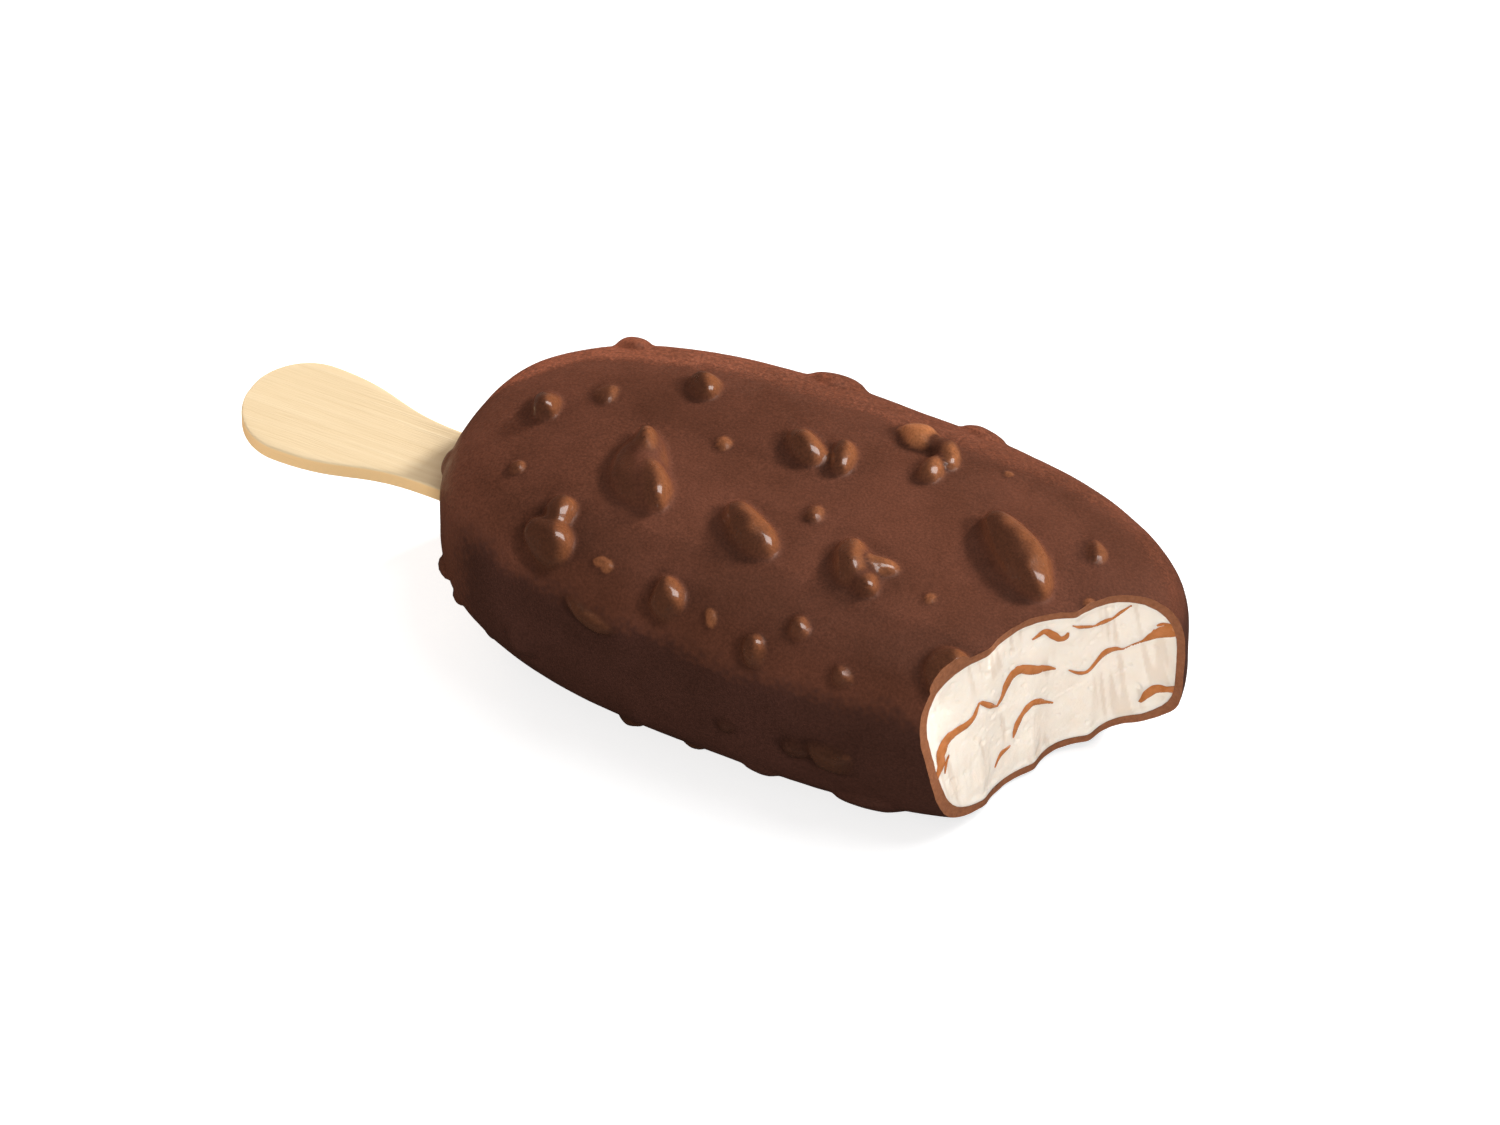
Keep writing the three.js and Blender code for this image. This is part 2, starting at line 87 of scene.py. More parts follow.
# Nuts: x, y, z near the surface, length, width, height, turn in degrees, how pale each shows (-1 where
# thick chocolate hides it), and how much of it is chopped off flat.
NUTS = [
    (-33.6, 1, 11.3, 5, 3.2, 2, -64, 0.2, 0.3),
    (-28.3, 5.4, 12, 3.2, 2.6, 0.6, -64, 0.5, 0.5),
    (-19.1, 11.3, 12.3, 4.5, 3.8, 1.5, -64, 0.3, 0.8),
    (-20.2, -1.3, 12.7, 6, 2.8, 2.6, -66, 0.3, 0),
    (-19.2, -4.5, 12.6, 10.4, 6, 1.6, -62, 0.1, 0),
    (-32.4, -8.8, 11.2, 1.9, 1.6, 0.5, -64, 0.6, 0),
    (-24.6, -13.4, 11.6, 4.4, 3.3, 1.8, -64, 0.3, 0),
    (-24.2, -17, 10.4, 6.6, 5, 2.3, -42, 0.2, 0),
    (-8.4, -19.2, 10.5, 5, 3.8, 1.7, -60, 0.3, 0.3),
    (-3.8, -7.8, 12.7, 9.3, 4.3, 2.2, -38, 0.3, 0),
    (1.4, -2.2, 12.8, 2.4, 1.8, 0.7, -64, 0.6, 0),
    (-4.2, 6.8, 12.7, 6.6, 3.6, 1.8, -37, 0.4, 0),
    (0.2, 7.2, 12.7, 5.4, 2.8, 1.6, -64, 0.4, 0),
    (6.2, 14.5, 12.2, 5.2, 4, 1.5, -20, 1, 0.5),
    (9.2, 14, 12.3, 4.2, 2.2, 0.9, -10, 0.8, 0),
    (10.6, 12.9, 12.3, 4.4, 2.2, 1.4, -64, 0.7, 0),
    (9.9, 9.7, 12.6, 3.6, 2.5, 1.4, -64, 0.6, 0),
    (8.3, -7.2, 12.7, 7.4, 3.8, 1.9, -60, 0.4, 0),
    (10.9, -6.6, 12.7, 5, 2.6, 1.2, 22, 0.7, 0),
    (11.2, -9.4, 12.6, 3.4, 2.4, 1.3, -50, 0.3, 0),
    (24, 2.1, 12.3, 13.2, 5.4, 3, -39, 0.3, 0),
    (31.2, 7.4, 11.5, 3.3, 2.4, 0.7, -64, 0.5, 0.4),
    (7, -17.6, 11.3, 2.8, 2, 0.8, -64, 0.5, 0),
    (3.1, -21.2, 9.1, 3.8, 3, 1.2, -64, 0.3, 0.4),
    (13.7, -20.5, 9.3, 2.6, 2.3, 0.8, -64, 0.4, 0.5),
    (24.5, -16.2, 10.8, 6.4, 4.8, 1.4, -64, 0.4, 0.2),
    (-30.7, 16.8, 8.8, 4.6, 3.3, 1, 110, -1, 0),
    (-7.2, 21, 9.2, 5.6, 4.8, 1.2, 0, -1, 0),
    (11.2, 21, 9.1, 4.4, 3.8, 0.8, 0, -1, 0),
    (-42.9, -6, 5, 2.2, 2, 0.4, 0, -1, 0.3),
    (-40.1, -12.3, -4.9, 2.8, 2.4, 0.7, 0, 0, 0.3),
    (-37.2, -14.7, -6.3, 1.8, 1.6, 0.5, 0, 0, 0),
    (13.6, -23, -1.7, 6.2, 3.8, 1.3, -15, 0.3, 0.6),
    (9.4, -23, -2, 3, 2.6, 0.9, 0, 0, 0.3),
    (0.8, -23, -2, 1.9, 1.7, 0.7, 0, 0, 0),
    (-17.1, -22.2, 6.4, 6.4, 2.2, 1.2, -12, 0.4, 0.3),
    (-26.3, -20.8, -2.8, 4.2, 3.4, 1.1, 10, -1, 0),
    (17, -20.2, -9.2, 7, 4.6, 0.8, 5, -1, 0.4),
    (4.1, -21.1, -9.2, 2.8, 2.4, 0.4, 0, -1, 0.3),
    (-16.5, -6.3, 12.6, 6.8, 3.4, 2.6, -52, 0.3, 0),
]
# Nuts that lie against each other under one skin of chocolate, by their places in the list.
CLUSTERS = [(3, 4, 39), (13, 14, 15, 16), (17, 18, 19)]
CLUSTER_BLEND = 1.3
# Specks of nut too small for the solids.
SPECKS = [
    (-12.6, 3.4, 12.7, 1.8, 1.3, 0.5, -64, 1, 0),
    (-17.5, -17.7, 10.9, 1.2, 0.9, 0.3, 20, 1, 0),
    (-16.4, -17.9, 10.8, 1.3, 1, 0.35, -64, 1, 0),
    (17.6, 13.9, 12, 0.7, 0.6, 0.2, 0, 1, 0),
    (18.4, -8.1, 12.5, 1.3, 0.8, 0.3, -64, 1, 0),
    (34, 0, 11.3, 1.2, 0.9, 0.35, -64, 1, 0),
    (-2.8, -19.7, 10.4, 1.9, 0.9, 0.3, -64, 1, 0),
]

STREWN_COUNT = 24
STREWN_SEED = 7321
STREWN_LENGTH = (2.4, 7.5)
STREWN_SKEW = 1.8
STREWN_WIDTH = (0.65, 0.95)
STREWN_HEIGHT = (0.3, 0.45)
STREWN_SPACING = 1.6
LISTED_SIDE = np.array([0.31, -0.64, 0.71])
LISTED_MARGIN = -0.3
UNDERSIDE = -0.97
AT_STICK = -0.6
CLEAR_OF_BITE = 23
NUT_SINK = 0.25
NUT_WOBBLE = 0.07
STREWN_PALE = 0.3
STREWN_CHOPPED = 0.5

# Caramel on the bite, as strokes of (across, z, thickness). The first stroke of a ripple is its solid's,
# and the others are fine trails beside it.
RIPPLES = {
    "long": [
        [(-3.7, -2.7, 0.15), (-3.2, -1.9, 0.5), (-2.6, -0.9, 0.8), (-2.5, 0.2, 0.95), (-1.5, 1.45, 0.9),
         (0, 1.75, 0.75), (1.6, 1.75, 0.65), (2.7, 2.3, 0.45), (3.3, 3.3, 0.25), (3.6, 3.7, 0.18),
         (4.1, 3.4, 0.35), (5.1, 2.4, 0.4), (5.7, 1.8, 0.25), (6.2, 1.4, 0.15), (6.6, 1.55, 0.3),
         (7.2, 2.1, 0.45), (7.8, 3.35, 0.75), (8.6, 4.35, 0.9), (9.9, 4.5, 0.85), (11.8, 3.35, 0.85),
         (13.2, 2.8, 0.6), (14.4, 2.2, 0.15)],
        [(-2.2, -2.4, 0.1), (-1.95, -1.6, 0.25), (-1.7, -1, 0.22), (-1.3, -0.5, 0.1)],
    ],
    "right": [
        [(16, 1.4, 0.12), (17.2, 0.4, 0.35), (18.1, 0.1, 0.35), (19.1, 0.5, 0.4), (20.7, 1.75, 0.7),
         (21.9, 1.85, 0.5), (22.8, 1.65, 0.12), (23.8, 2.25, 0.1), (24.7, 2.85, 0.16), (25.4, 3.5, 0.55),
         (26.2, 4.2, 0.9), (27, 4.8, 0.95), (27.8, 5.5, 0.8)],
        [(25.9, 5.3, 0.1), (26.4, 5.65, 0.2), (27.1, 5.8, 0.12)],
    ],
    "upper_left": [
        [(11.3, 8.3, 0.12), (12, 8.6, 0.3), (12.8, 9, 0.5), (13.6, 8.3, 0.6), (14.5, 7.3, 0.6),
         (15.1, 7.5, 0.4), (15.35, 8.2, 0.12)],
        [(-3.2, 7.9, 0.1), (-2.3, 8.9, 0.28), (-1.4, 9.4, 0.22), (-0.4, 9.8, 0.1)],
    ],
    "upper_right": [
        [(15.8, 9.2, 0.1), (17, 8.3, 0.26), (18.2, 7.5, 0.22), (19, 7.15, 0.12), (19.8, 7.1, 0.42),
         (20.7, 7.1, 0.5), (21.4, 7.2, 0.25), (22.1, 7.7, 0.35), (22.7, 8.1, 0.2), (23.4, 8.6, 0.1)],
    ],
    "lower": [
        [(8.8, -5.4, 0.12), (9.05, -4.4, 0.4), (9.4, -3.4, 0.5), (10.1, -2.3, 0.5), (11.2, -1.55, 0.6),
         (12.3, -2, 0.5), (13.4, -2.9, 0.3), (14.6, -3.8, 0.12)],
    ],
    "lower_left": [
        [(5.9, -7.9, 0.12), (6.4, -7.2, 0.3), (7, -6.7, 0.5), (7.7, -6.6, 0.35), (8.4, -6.4, 0.12)],
    ],
    "corner": [
        [(24.6, -7, 0.12), (25.1, -5.9, 0.4), (25.7, -4.9, 0.6), (26.4, -4.35, 0.65), (27, -4.1, 0.45),
         (27.7, -3.1, 0.2)],
    ],
}

# ---- fineness of the meshes

OUTER_CELL = 0.395
INNER_CELL = 1.1
WALL_STEP = 0.2
CARAMEL_STEP = 0.14

# ---- noise

norm = partial(np.linalg.norm, axis=-1)


def lattice(i, j, k, seed):
    """A repeatable value from -1 to 1 for each whole-number place."""
    mixed = (i * 374761393 + j * 668265263 + k * 1274126177 + seed * 974634777) & 0xFFFFFFFF
    mixed = ((mixed ^ (mixed >> 13)) * 1274126177) & 0xFFFFFFFF
    return (mixed ^ (mixed >> 16)) / 0x7FFFFFFF - 1


NOISE_TURN = np.array([[0.36, 0.48, -0.8], [-0.8, 0.6, 0.0], [0.48, 0.64, 0.6]])


def noise(points, size, seed):
    """Smooth noise from about -1 to 1, with features about size across (one number or three)."""
    turned = points / np.asarray(size) @ NOISE_TURN
    cell = np.floor(turned).astype(np.int64)
    part = turned - cell
    part = part ** 3 * (part * (part * 6 - 15) + 10)
    total = 0
    for corner in np.ndindex(2, 2, 2):
        weight = 1
        for axis in range(3):
            weight = weight * (part[..., axis] if corner[axis] else 1 - part[..., axis])
        total = total + weight * lattice(*np.moveaxis(cell + corner, -1, 0), seed)
    return total


def layered(points, *layers):
    """The sum of layers of noise, each a (depth, size, seed)."""
    return sum(depth * noise(points, size, seed) for depth, size, seed in layers)


def smoothstep(value, low, high):
    share = np.clip((value - low) / (high - low), 0, 1)
    return share * share * (3 - 2 * share)


def patches(points, size, seed, span):
    """Patches from 0 to 1, where noise goes through the span."""
    return smoothstep(noise(points, size, seed), *span)


def smooth_min(a, b, blend):
    near = np.maximum(blend - np.abs(a - b), 0) / blend
    return np.minimum(a, b) - near * near * blend / 4


# ---- meshes

FAR_OFF = 1e3  # a distance that nothing reaches


def link(thing):
    bpy.context.scene.collection.objects.link(thing)
    return thing


def to_row(points):
    return (np.asarray(points) + (0, 0, LIFT)) * 0.001


def from_row(points):
    return points * 1000 - (0, 0, LIFT)


def make_object(name, points, faces, materials=(), material_index=0):
    mesh = bpy.data.meshes.new(name)
    mesh.from_pydata(to_row(points).tolist(), [], [list(face) for face in faces])
    for material in materials:
        mesh.materials.append(material)
    if material_index:
        mesh.polygons.foreach_set("material_index", np.full(len(mesh.polygons), material_index))
    mesh.update()
    return link(bpy.data.objects.new(name, mesh))


def combine(thing, *steps):
    """Applies (operation, other) pairs to thing in turn."""
    for operation, other in steps:
        modifier = thing.modifiers.new(operation, "BOOLEAN")
        modifier.operation = operation
        modifier.object = other
        modifier.solver = "MANIFOLD"
    graph = bpy.context.evaluated_depsgraph_get()
    made = bpy.data.meshes.new_from_object(thing.evaluated_get(graph))
    thing.modifiers.clear()
    old = thing.data
    thing.data = made
    bpy.data.meshes.remove(old)
    made.name = thing.name
    if not made.polygons:
        raise RuntimeError(thing.name + " came out empty")


def per_vertex(thing, kind):
    values = np.empty(len(thing.data.vertices) * 3)
    thing.data.vertices.foreach_get(kind, values)
    return values.reshape(-1, 3)


def vertices_of(thing):
    return from_row(per_vertex(thing, "co"))


def normals_of(thing):
    return per_vertex(thing, "normal")


# ---- the body


def shares(points, half):
    """How far out each point is as shares of the body's half sizes, and how much of that is in plan."""
    share = np.abs(points / half)
    return share, share[..., 0] ** PLAN_POWER + share[..., 1] ** PLAN_POWER


def reach(points, half=HALF):
    """1 on the surface of the body, and in proportion to the distance from its middle."""
    share, plan = shares(points, half)
    return (plan ** (SIDE_POWER / PLAN_POWER) + share[..., 2] ** SIDE_POWER) ** (1 / SIDE_POWER)


def slope(points, half=HALF):
    """The outward direction at each point, of unit length, and the rate at which reach grows that way."""
    share, plan = shares(points, half)
    grown = share ** (np.array([PLAN_POWER, PLAN_POWER, SIDE_POWER]) - 1)
    grown[..., :2] *= plan[..., None] ** (SIDE_POWER / PLAN_POWER - 1)
    grown = grown * np.sign(points) / half
    length = norm(grown, keepdims=True)
    return grown / length, length[..., 0] * reach(points, half) ** (1 - SIDE_POWER)


def height_above_body(points, half=HALF):
    return (reach(points, half) - 1) / slope(points, half)[1]


def on_body(points, half=HALF):
    return points / reach(points, half)[..., None]


def body_surface(half, cell):
    """Points of the body's surface, as a box's drawn in onto it, and the quads between them."""
    counts = [round(2 * size / cell) for size in half]
    strides = [(counts[1] + 1) * (counts[2] + 1), counts[2] + 1, 1]
    quads = []
    for axis in range(3):
        u, v = (axis + 1) % 3, (axis + 2) % 3
        i, j = np.meshgrid(np.arange(counts[u]), np.arange(counts[v]), indexing="ij")
        for side in (0, counts[axis]):
            base = side * strides[axis] + i * strides[u] + j * strides[v]
            quad = [base, base + strides[u], base + strides[u] + strides[v], base + strides[v]]
            quads.append(np.stack(quad if side else quad[::-1], axis=-1).reshape(-1, 4))
    ids, faces = np.unique(np.concatenate(quads), return_inverse=True)
    whole = np.stack([ids // strides[0], ids % strides[0] // strides[1], ids % strides[1]], axis=-1)
    return on_body((2 * whole / np.array(counts) - 1) * half, half), faces.reshape(-1, 4)


# ---- the nuts

Nut = namedtuple("Nut", "index middle axes sizes pale chopped")
CUTS = ((0.0, 0.35), (2.4, 0.8))  # turn and tilt of the two faces of a chopped nut
CUT_TURN = 1.3  # from one nut to the next
CUT_SHARE = 0.32
CUT_BLEND = 0.5
ROUGH_SHARE = 0.05  # of a nut's half width
ROUGHEST = 0.12
ROUGH_SIZE = 1.9
ROUGH_SEED = 100
TINY = 1e-9


def random_from(seed):
    state = seed
    while True:
        state = state * 16807 % 2147483647
        yield state / 2147483647


def strewn_nuts(placed):
    """The nuts over the parts that the listed ones leave bare, as in the solids."""
    draw = random_from(STREWN_SEED)
    centres = [on_body(np.array(nut[:3])) for nut in placed]
    lengths = [nut[3] for nut in placed]
    strewn = []
    while len(strewn) < STREWN_COUNT:
        at = on_body(np.array([size * (2 * next(draw) - 1) for size in HALF]))
        length = np.interp(next(draw) ** STREWN_SKEW, (0, 1), STREWN_LENGTH)
        width = length * np.interp(next(draw), (0, 1), STREWN_WIDTH)
        height = width * np.interp(next(draw), (0, 1), STREWN_HEIGHT)
        turn = 180 * next(draw)
        normal = slope(at)[0]
        listed = normal @ LISTED_SIDE > LISTED_MARGIN
        underside = normal[2] < UNDERSIDE
        at_bite = -at[:2] @ INWARD > CLEAR_OF_BITE
        beside = abs(at[1] - STICK_MIDDLE) < STICK_SHAFT + length
        at_stick = beside and normal[0] < AT_STICK and abs(at[2]) < STICK_THICKNESS + length
        if listed or underside or at_bite or at_stick:
            continue
        gaps = norm(at - np.array(centres)) - (length + np.array(lengths)) / 2
        if min(gaps) <= STREWN_SPACING:
            continue
        centres.append(at)
        lengths.append(length)
        strewn.append((*at, length, width, height, turn, STREWN_PALE, STREWN_CHOPPED))
    return strewn


def all_nuts():
    """Every nut with its middle, its three axes and its half sizes."""
    made = []
    listed = NUTS + strewn_nuts(NUTS) + SPECKS
    for index, (x, y, z, length, width, height, turn, pale, chopped) in enumerate(listed):
        at = on_body(np.array([x, y, z]))
        normal = slope(at)[0]
        along = np.array([1.0, 0, 0]) - normal[0] * normal
        along /= norm(along)
        across = np.cross(normal, along)
        angle = math.radians(turn)
        axes = np.array([
            math.cos(angle) * along + math.sin(angle) * across,
            math.cos(angle) * across - math.sin(angle) * along,
            normal,
        ])
        sizes = np.array([length / 2, width / 2, height * (1 + NUT_SINK)])
        middle = at - NUT_SINK * height * normal
        made.append(Nut(index, middle, axes, sizes, pale, chopped))
    return made


def nut_distance(points, nut):
    """About how far each point is outside a nut: below 0 inside it."""
    local = (points - nut.middle) @ nut.axes.T
    scaled = local / nut.sizes
    length = norm(scaled) + TINY
    unit = scaled / length[..., None]
    wobble = np.sin(3 * unit[..., 0] + nut.index) * np.cos(2.4 * unit[..., 1] - 2 * nut.index)
    wobble = wobble + np.sin(4 * unit[..., 2])
    length = length / (1 + NUT_WOBBLE * wobble)
    steepness = norm(scaled / nut.sizes) + TINY
    distance = length * (length - 1) / steepness
    if nut.chopped:
        for turn, tilt in CUTS:
            turn += CUT_TURN * nut.index
            level = math.cos(tilt)
            facing = np.array([math.cos(turn) * level, math.sin(turn) * level, math.sin(tilt)])
            edge = norm(facing * nut.sizes) * (1 - CUT_SHARE * nut.chopped)
            distance = -smooth_min(-distance, edge - local @ facing, CUT_BLEND)
    rough = min(ROUGHEST, ROUGH_SHARE * nut.sizes[1])
    return distance + layered(points, (rough, ROUGH_SIZE, ROUGH_SEED + nut.index))


# ---- the coating's outside

LEVELS = np.linspace(4.6, -0.5, 27)  # heights tried over the body, from above the tallest lump
COATING_RELIEF = ((0.10, 11.0, 1), (0.05, 4.2, 2), (0.018, 1.6, 3))
COLLAR_HEIGHT = 0.45  # of the chocolate drawn up round the stick
COLLAR_BREADTH = 0.9
INNER_RELIEF = (0.1, 7.0, 5)
HIDDEN_BLEND = 1.0  # how softly a lump under thick chocolate joins the coating
LEAST_BLEND = 0.22
BLEND_PER_HEIGHT = 0.12
MOST_BLEND = 0.6
LUMP_MARGIN = 2.5
RELAX_MARGIN = 1.2
RELAX_ROUNDS = 14
RELAX_SHARE = 0.6
RELAX_PROBE = 0.02
RELAX_REACH = 0.4
LEAST_STEEPNESS = 0.04


def stick_closeness(points):
    """Distance from the stick's section at the end that it goes in at, in its own plane."""
    dy = np.abs(points[:, 1] - STICK_MIDDLE - math.sin(STICK_TURN) * points[:, 0]) - STICK_SHAFT
    dz = np.abs(points[:, 2] + STICK_THICKNESS / 2) - STICK_THICKNESS / 2
    away = np.hypot(np.maximum(dy, 0), np.maximum(dz, 0))
    return np.where(points[:, 0] < STICK_ENTRY, away, FAR_OFF)


def coating_relief(points):
    """How uneven the chocolate is, apart from the nuts."""
    collar = COLLAR_HEIGHT * np.exp(-(stick_closeness(points) / COLLAR_BREADTH) ** 2)
    return layered(points, *COATING_RELIEF) + collar


def near_nut(points, nut, margin):
    return np.flatnonzero(norm(points - nut.middle) < max(nut.sizes) + margin)


class Lump:
    """One nut or a cluster of them under the chocolate."""

    def __init__(self, nuts):
        self.nuts = nuts
        tallest = max(nut.sizes[2] for nut in nuts)
        self.blend = min(MOST_BLEND, LEAST_BLEND + BLEND_PER_HEIGHT * tallest)
        if max(nut.pale for nut in nuts) < 0:
            self.blend = HIDDEN_BLEND

    def near(self, points, margin):
        return np.unique(np.concatenate([near_nut(points, nut, margin) for nut in self.nuts]))

    def distance(self, points):
        together = nut_distance(points, self.nuts[0])
        for nut in self.nuts[1:]:
            together = smooth_min(together, nut_distance(points, nut), CLUSTER_BLEND)
        return together


def lumps_of(nuts):
    clustered = {index for cluster in CLUSTERS for index in cluster}
    groups = [[nuts[index] for index in cluster] for cluster in CLUSTERS]
    groups += [[nut] for index, nut in enumerate(nuts) if index not in clustered]
    return [Lump(group) for group in groups]


def coating_surface(lumps):
    """Points and faces of the coating's outside, lumps and all."""
    points, faces = body_surface(HALF, OUTER_CELL)
    normals = slope(points)[0]
    field = LEVELS[None, :] - coating_relief(points)[:, None]
    for lump in lumps:
        near = lump.near(points, LUMP_MARGIN)
        tried = points[near, None, :] + LEVELS[None, :, None] * normals[near, None, :]
        field[near] = smooth_min(field[near], lump.distance(tried), lump.blend)
    first = np.argmax(field < 0, axis=1)
    rows = np.arange(len(points))
    outer, inner = field[rows, first - 1], field[rows, first]
    step = LEVELS[1] - LEVELS[0]
    height = LEVELS[first - 1] + step * outer / (outer - inner)
    points = relaxed(points + height[:, None] * normals, faces, lumps)
    points[:, 2] = np.maximum(points[:, 2], FLOOR)
    return points, faces


def coating_field(points, lumps, near):
    """How far each point is above the coating. near has the rows that each lump reaches."""
    field = height_above_body(points) - coating_relief(on_body(points))
    for lump, rows in zip(lumps, near):
        field[rows] = smooth_min(field[rows], lump.distance(points[rows]), lump.blend)
    return field


def relaxed(points, faces, lumps):
    """Slides the points round the nuts until they are evenly spaced over the steep sides too."""
    active = np.unique(np.concatenate([lump.near(points, RELAX_MARGIN) for lump in lumps]))
    starts = faces.ravel()
    ends = np.roll(faces, -1, axis=1).ravel()
    starts, ends = np.concatenate([starts, ends]), np.concatenate([ends, starts])
    row_of = np.full(len(points), -1)
    row_of[active] = np.arange(len(active))
    kept = row_of[starts] >= 0
    owner, other = row_of[starts[kept]], ends[kept]
    count = np.bincount(owner, minlength=len(active))[:, None]
    near = [lump.near(points[active], RELAX_MARGIN) for lump in lumps]
    for _ in range(RELAX_ROUNDS):
        here = points[active]
        middle = np.stack(
            [np.bincount(owner, points[other, axis], minlength=len(active)) for axis in range(3)], axis=1
        ) / count
        value = coating_field(here, lumps, near)
        gradient = np.stack([
            (coating_field(here + RELAX_PROBE * direction, lumps, near) - value) / RELAX_PROBE
            for direction in np.eye(3)
        ], axis=1)
        steepness = np.maximum((gradient ** 2).sum(axis=1, keepdims=True), LEAST_STEEPNESS)
        move = middle - here
        move -= gradient * (move * gradient).sum(axis=1, keepdims=True) / steepness
        onto = np.clip(value, -RELAX_REACH, RELAX_REACH)[:, None] * gradient / steepness
        points[active] = here + RELAX_SHARE * move - onto
    return points


def inner_surface():
    half = HALF - COATING
    points, faces = body_surface(half, INNER_CELL)
    return points + layered(points, INNER_RELIEF)[:, None] * slope(points, half)[0], faces


# ---- the bite

CUSP_SOFTNESS = 0.45
TOOTH_SAMPLES = 200
ROW_SAMPLES = 800
DRAG_MARKS = ((0.11, (1.6, 9.0, 1.0), 11), (0.05, (0.55, 5.0, 1.0), 12))
STREAK_LEAN = np.array([0.16, 0, 0])
STREAKS = ((0.5, 8.0, 1.0), 51, (0.06, 0.45))
STREAKED = ((4.4, 5.2, 1.0), 53, (-0.32, 0.1))
STREAK_DEPTH = 0.07
PITS = ((0.22, 0.75, 15, (0.55, 1)), (0.14, 0.4, 16, (0.5, 1)))
ICE_SET_BACK = 0.16
ICE_LUMPS = ((0.14, 3.1, 13), (0.05, 1.1, 14))
RIM_SPAN = (-0.9, -0.1)  # where the ice cream comes out to the chocolate's edge
RIM_SET_BACK = 0.04
CARAMEL_SET_BACK = 0.18
CARAMEL_LUMPS = 0.5  # of the ice cream's
CARAMEL_BULGE = 0.17
NEAR_CARAMEL = (-0.8, -0.3)
CUT_CHOCOLATE = ((0.06, 2.3, 21), (0.05, 0.8, 22))


def on_path(at, marks, path):
    """Points of the path at some of its marks."""
    return np.stack([np.interp(at, marks, path[:, axis]) for axis in (0, 1)], axis=1)


def row_points(cusps, depths, count):
    """Points evenly spaced along a row of tooth marks, with the cusps softened."""
    path = []
    for start, end, depth in zip(cusps[:-1], cusps[1:], depths):
        start, end = np.array(start, float), np.array(end, float)
        along = (end - start) / norm(end - start)
        middle = (start + end) / 2 + 2 * depth * np.array([-along[1], along[0]])
        share = np.linspace(0, 1, TOOTH_SAMPLES, endpoint=False)[:, None]
        path.append((1 - share) ** 2 * start + 2 * share * (1 - share) * middle + share ** 2 * end)
    path = np.concatenate(path + [np.array([cusps[-1]], float)])
    travelled = np.concatenate([[0], np.cumsum(norm(np.diff(path, axis=0)))])
    even = np.linspace(0, travelled[-1], ROW_SAMPLES)
    path = on_path(even, travelled, path)
    width = CUSP_SOFTNESS / (even[1] - even[0])
    reachable = int(3 * width)
    kernel = np.exp(-0.5 * (np.arange(-reachable, reachable + 1) / width) ** 2)
    kernel /= kernel.sum()
    padded = np.pad(path, ((reachable, reachable), (0, 0)), mode="reflect", reflect_type="odd")
    path = np.stack([np.convolve(padded[:, axis], kernel, "valid") for axis in (0, 1)], axis=1)
    return on_path(np.linspace(0, ROW_SAMPLES - 1, count + 1), np.arange(ROW_SAMPLES), path)


def bite_wall(step):
    """The bite's wall as a grid of points, level by level, and the direction out of the bar at each."""
    count = round(ROW_LENGTH / step)
    levels = round(2 * BITE_OVERRUN * HALF[2] / step)
    upper = row_points(UPPER_CUSPS, UPPER_DEPTHS, count)
    lower = row_points(LOWER_CUSPS, LOWER_DEPTHS, count)
    z = np.linspace(-BITE_OVERRUN * HALF[2], BITE_OVERRUN * HALF[2], levels + 1)
    share = smoothstep(z, -BITE_BLEND * HALF[2], BITE_BLEND * HALF[2])[:, None, None]
    plan = lower[None] * (1 - share) + upper[None] * share
    wall = np.concatenate([plan, np.broadcast_to(z[:, None, None], plan.shape[:2] + (1,))], axis=2)
    along = np.gradient(plan, axis=1)
    out = np.stack([along[..., 1], -along[..., 0], np.zeros(along.shape[:2])], axis=-1)
    return wall, out / norm(out, keepdims=True)


def bite_cutter(name, wall, materials=(), material_index=0):
    """A closed block from the wall out past the end of the bar."""
    levels, count = wall.shape[:2]
    far = np.empty_like(wall)
    far[..., 0] = BITE_REACH
    far[..., 1] = np.linspace(wall[:, :1, 1], wall[:, -1:, 1], count, axis=1)[..., 0]
    far[..., 2] = wall[..., 2]
    points = np.concatenate([wall.reshape(-1, 3), far.reshape(-1, 3)])
    ids = np.arange(levels * count).reshape(levels, count)
    back = ids + levels * count

    def strip(*corners):
        return np.stack([corner.ravel() for corner in corners], axis=-1)

    faces = [
        strip(ids[:-1, :-1], ids[1:, :-1], ids[1:, 1:], ids[:-1, 1:]),
        strip(back[:-1, :-1], back[:-1, 1:], back[1:, 1:], back[1:, :-1]),
        strip(ids[0, :-1], ids[0, 1:], back[0, 1:], back[0, :-1]),
        strip(ids[-1, :-1], back[-1, :-1], back[-1, 1:], ids[-1, 1:]),
        strip(ids[:-1, 0], back[:-1, 0], back[1:, 0], ids[1:, 0]),
        strip(ids[:-1, -1], ids[1:, -1], back[1:, -1], back[:-1, -1]),
    ]
    return make_object(name, points, np.concatenate(faces), materials, material_index)


def flat_places(points):
    """Each point as (across, z, 0)."""
    return np.stack([points[..., :2] @ ACROSS, points[..., 2], np.zeros(points.shape[:-1])], axis=-1)


def streaks(places):
    """Thin scrapes down the ice cream, in patches, from 0 to 1."""
    return patches(places + places[..., 1:2] * STREAK_LEAN, *STREAKS) * patches(places, *STREAKED)


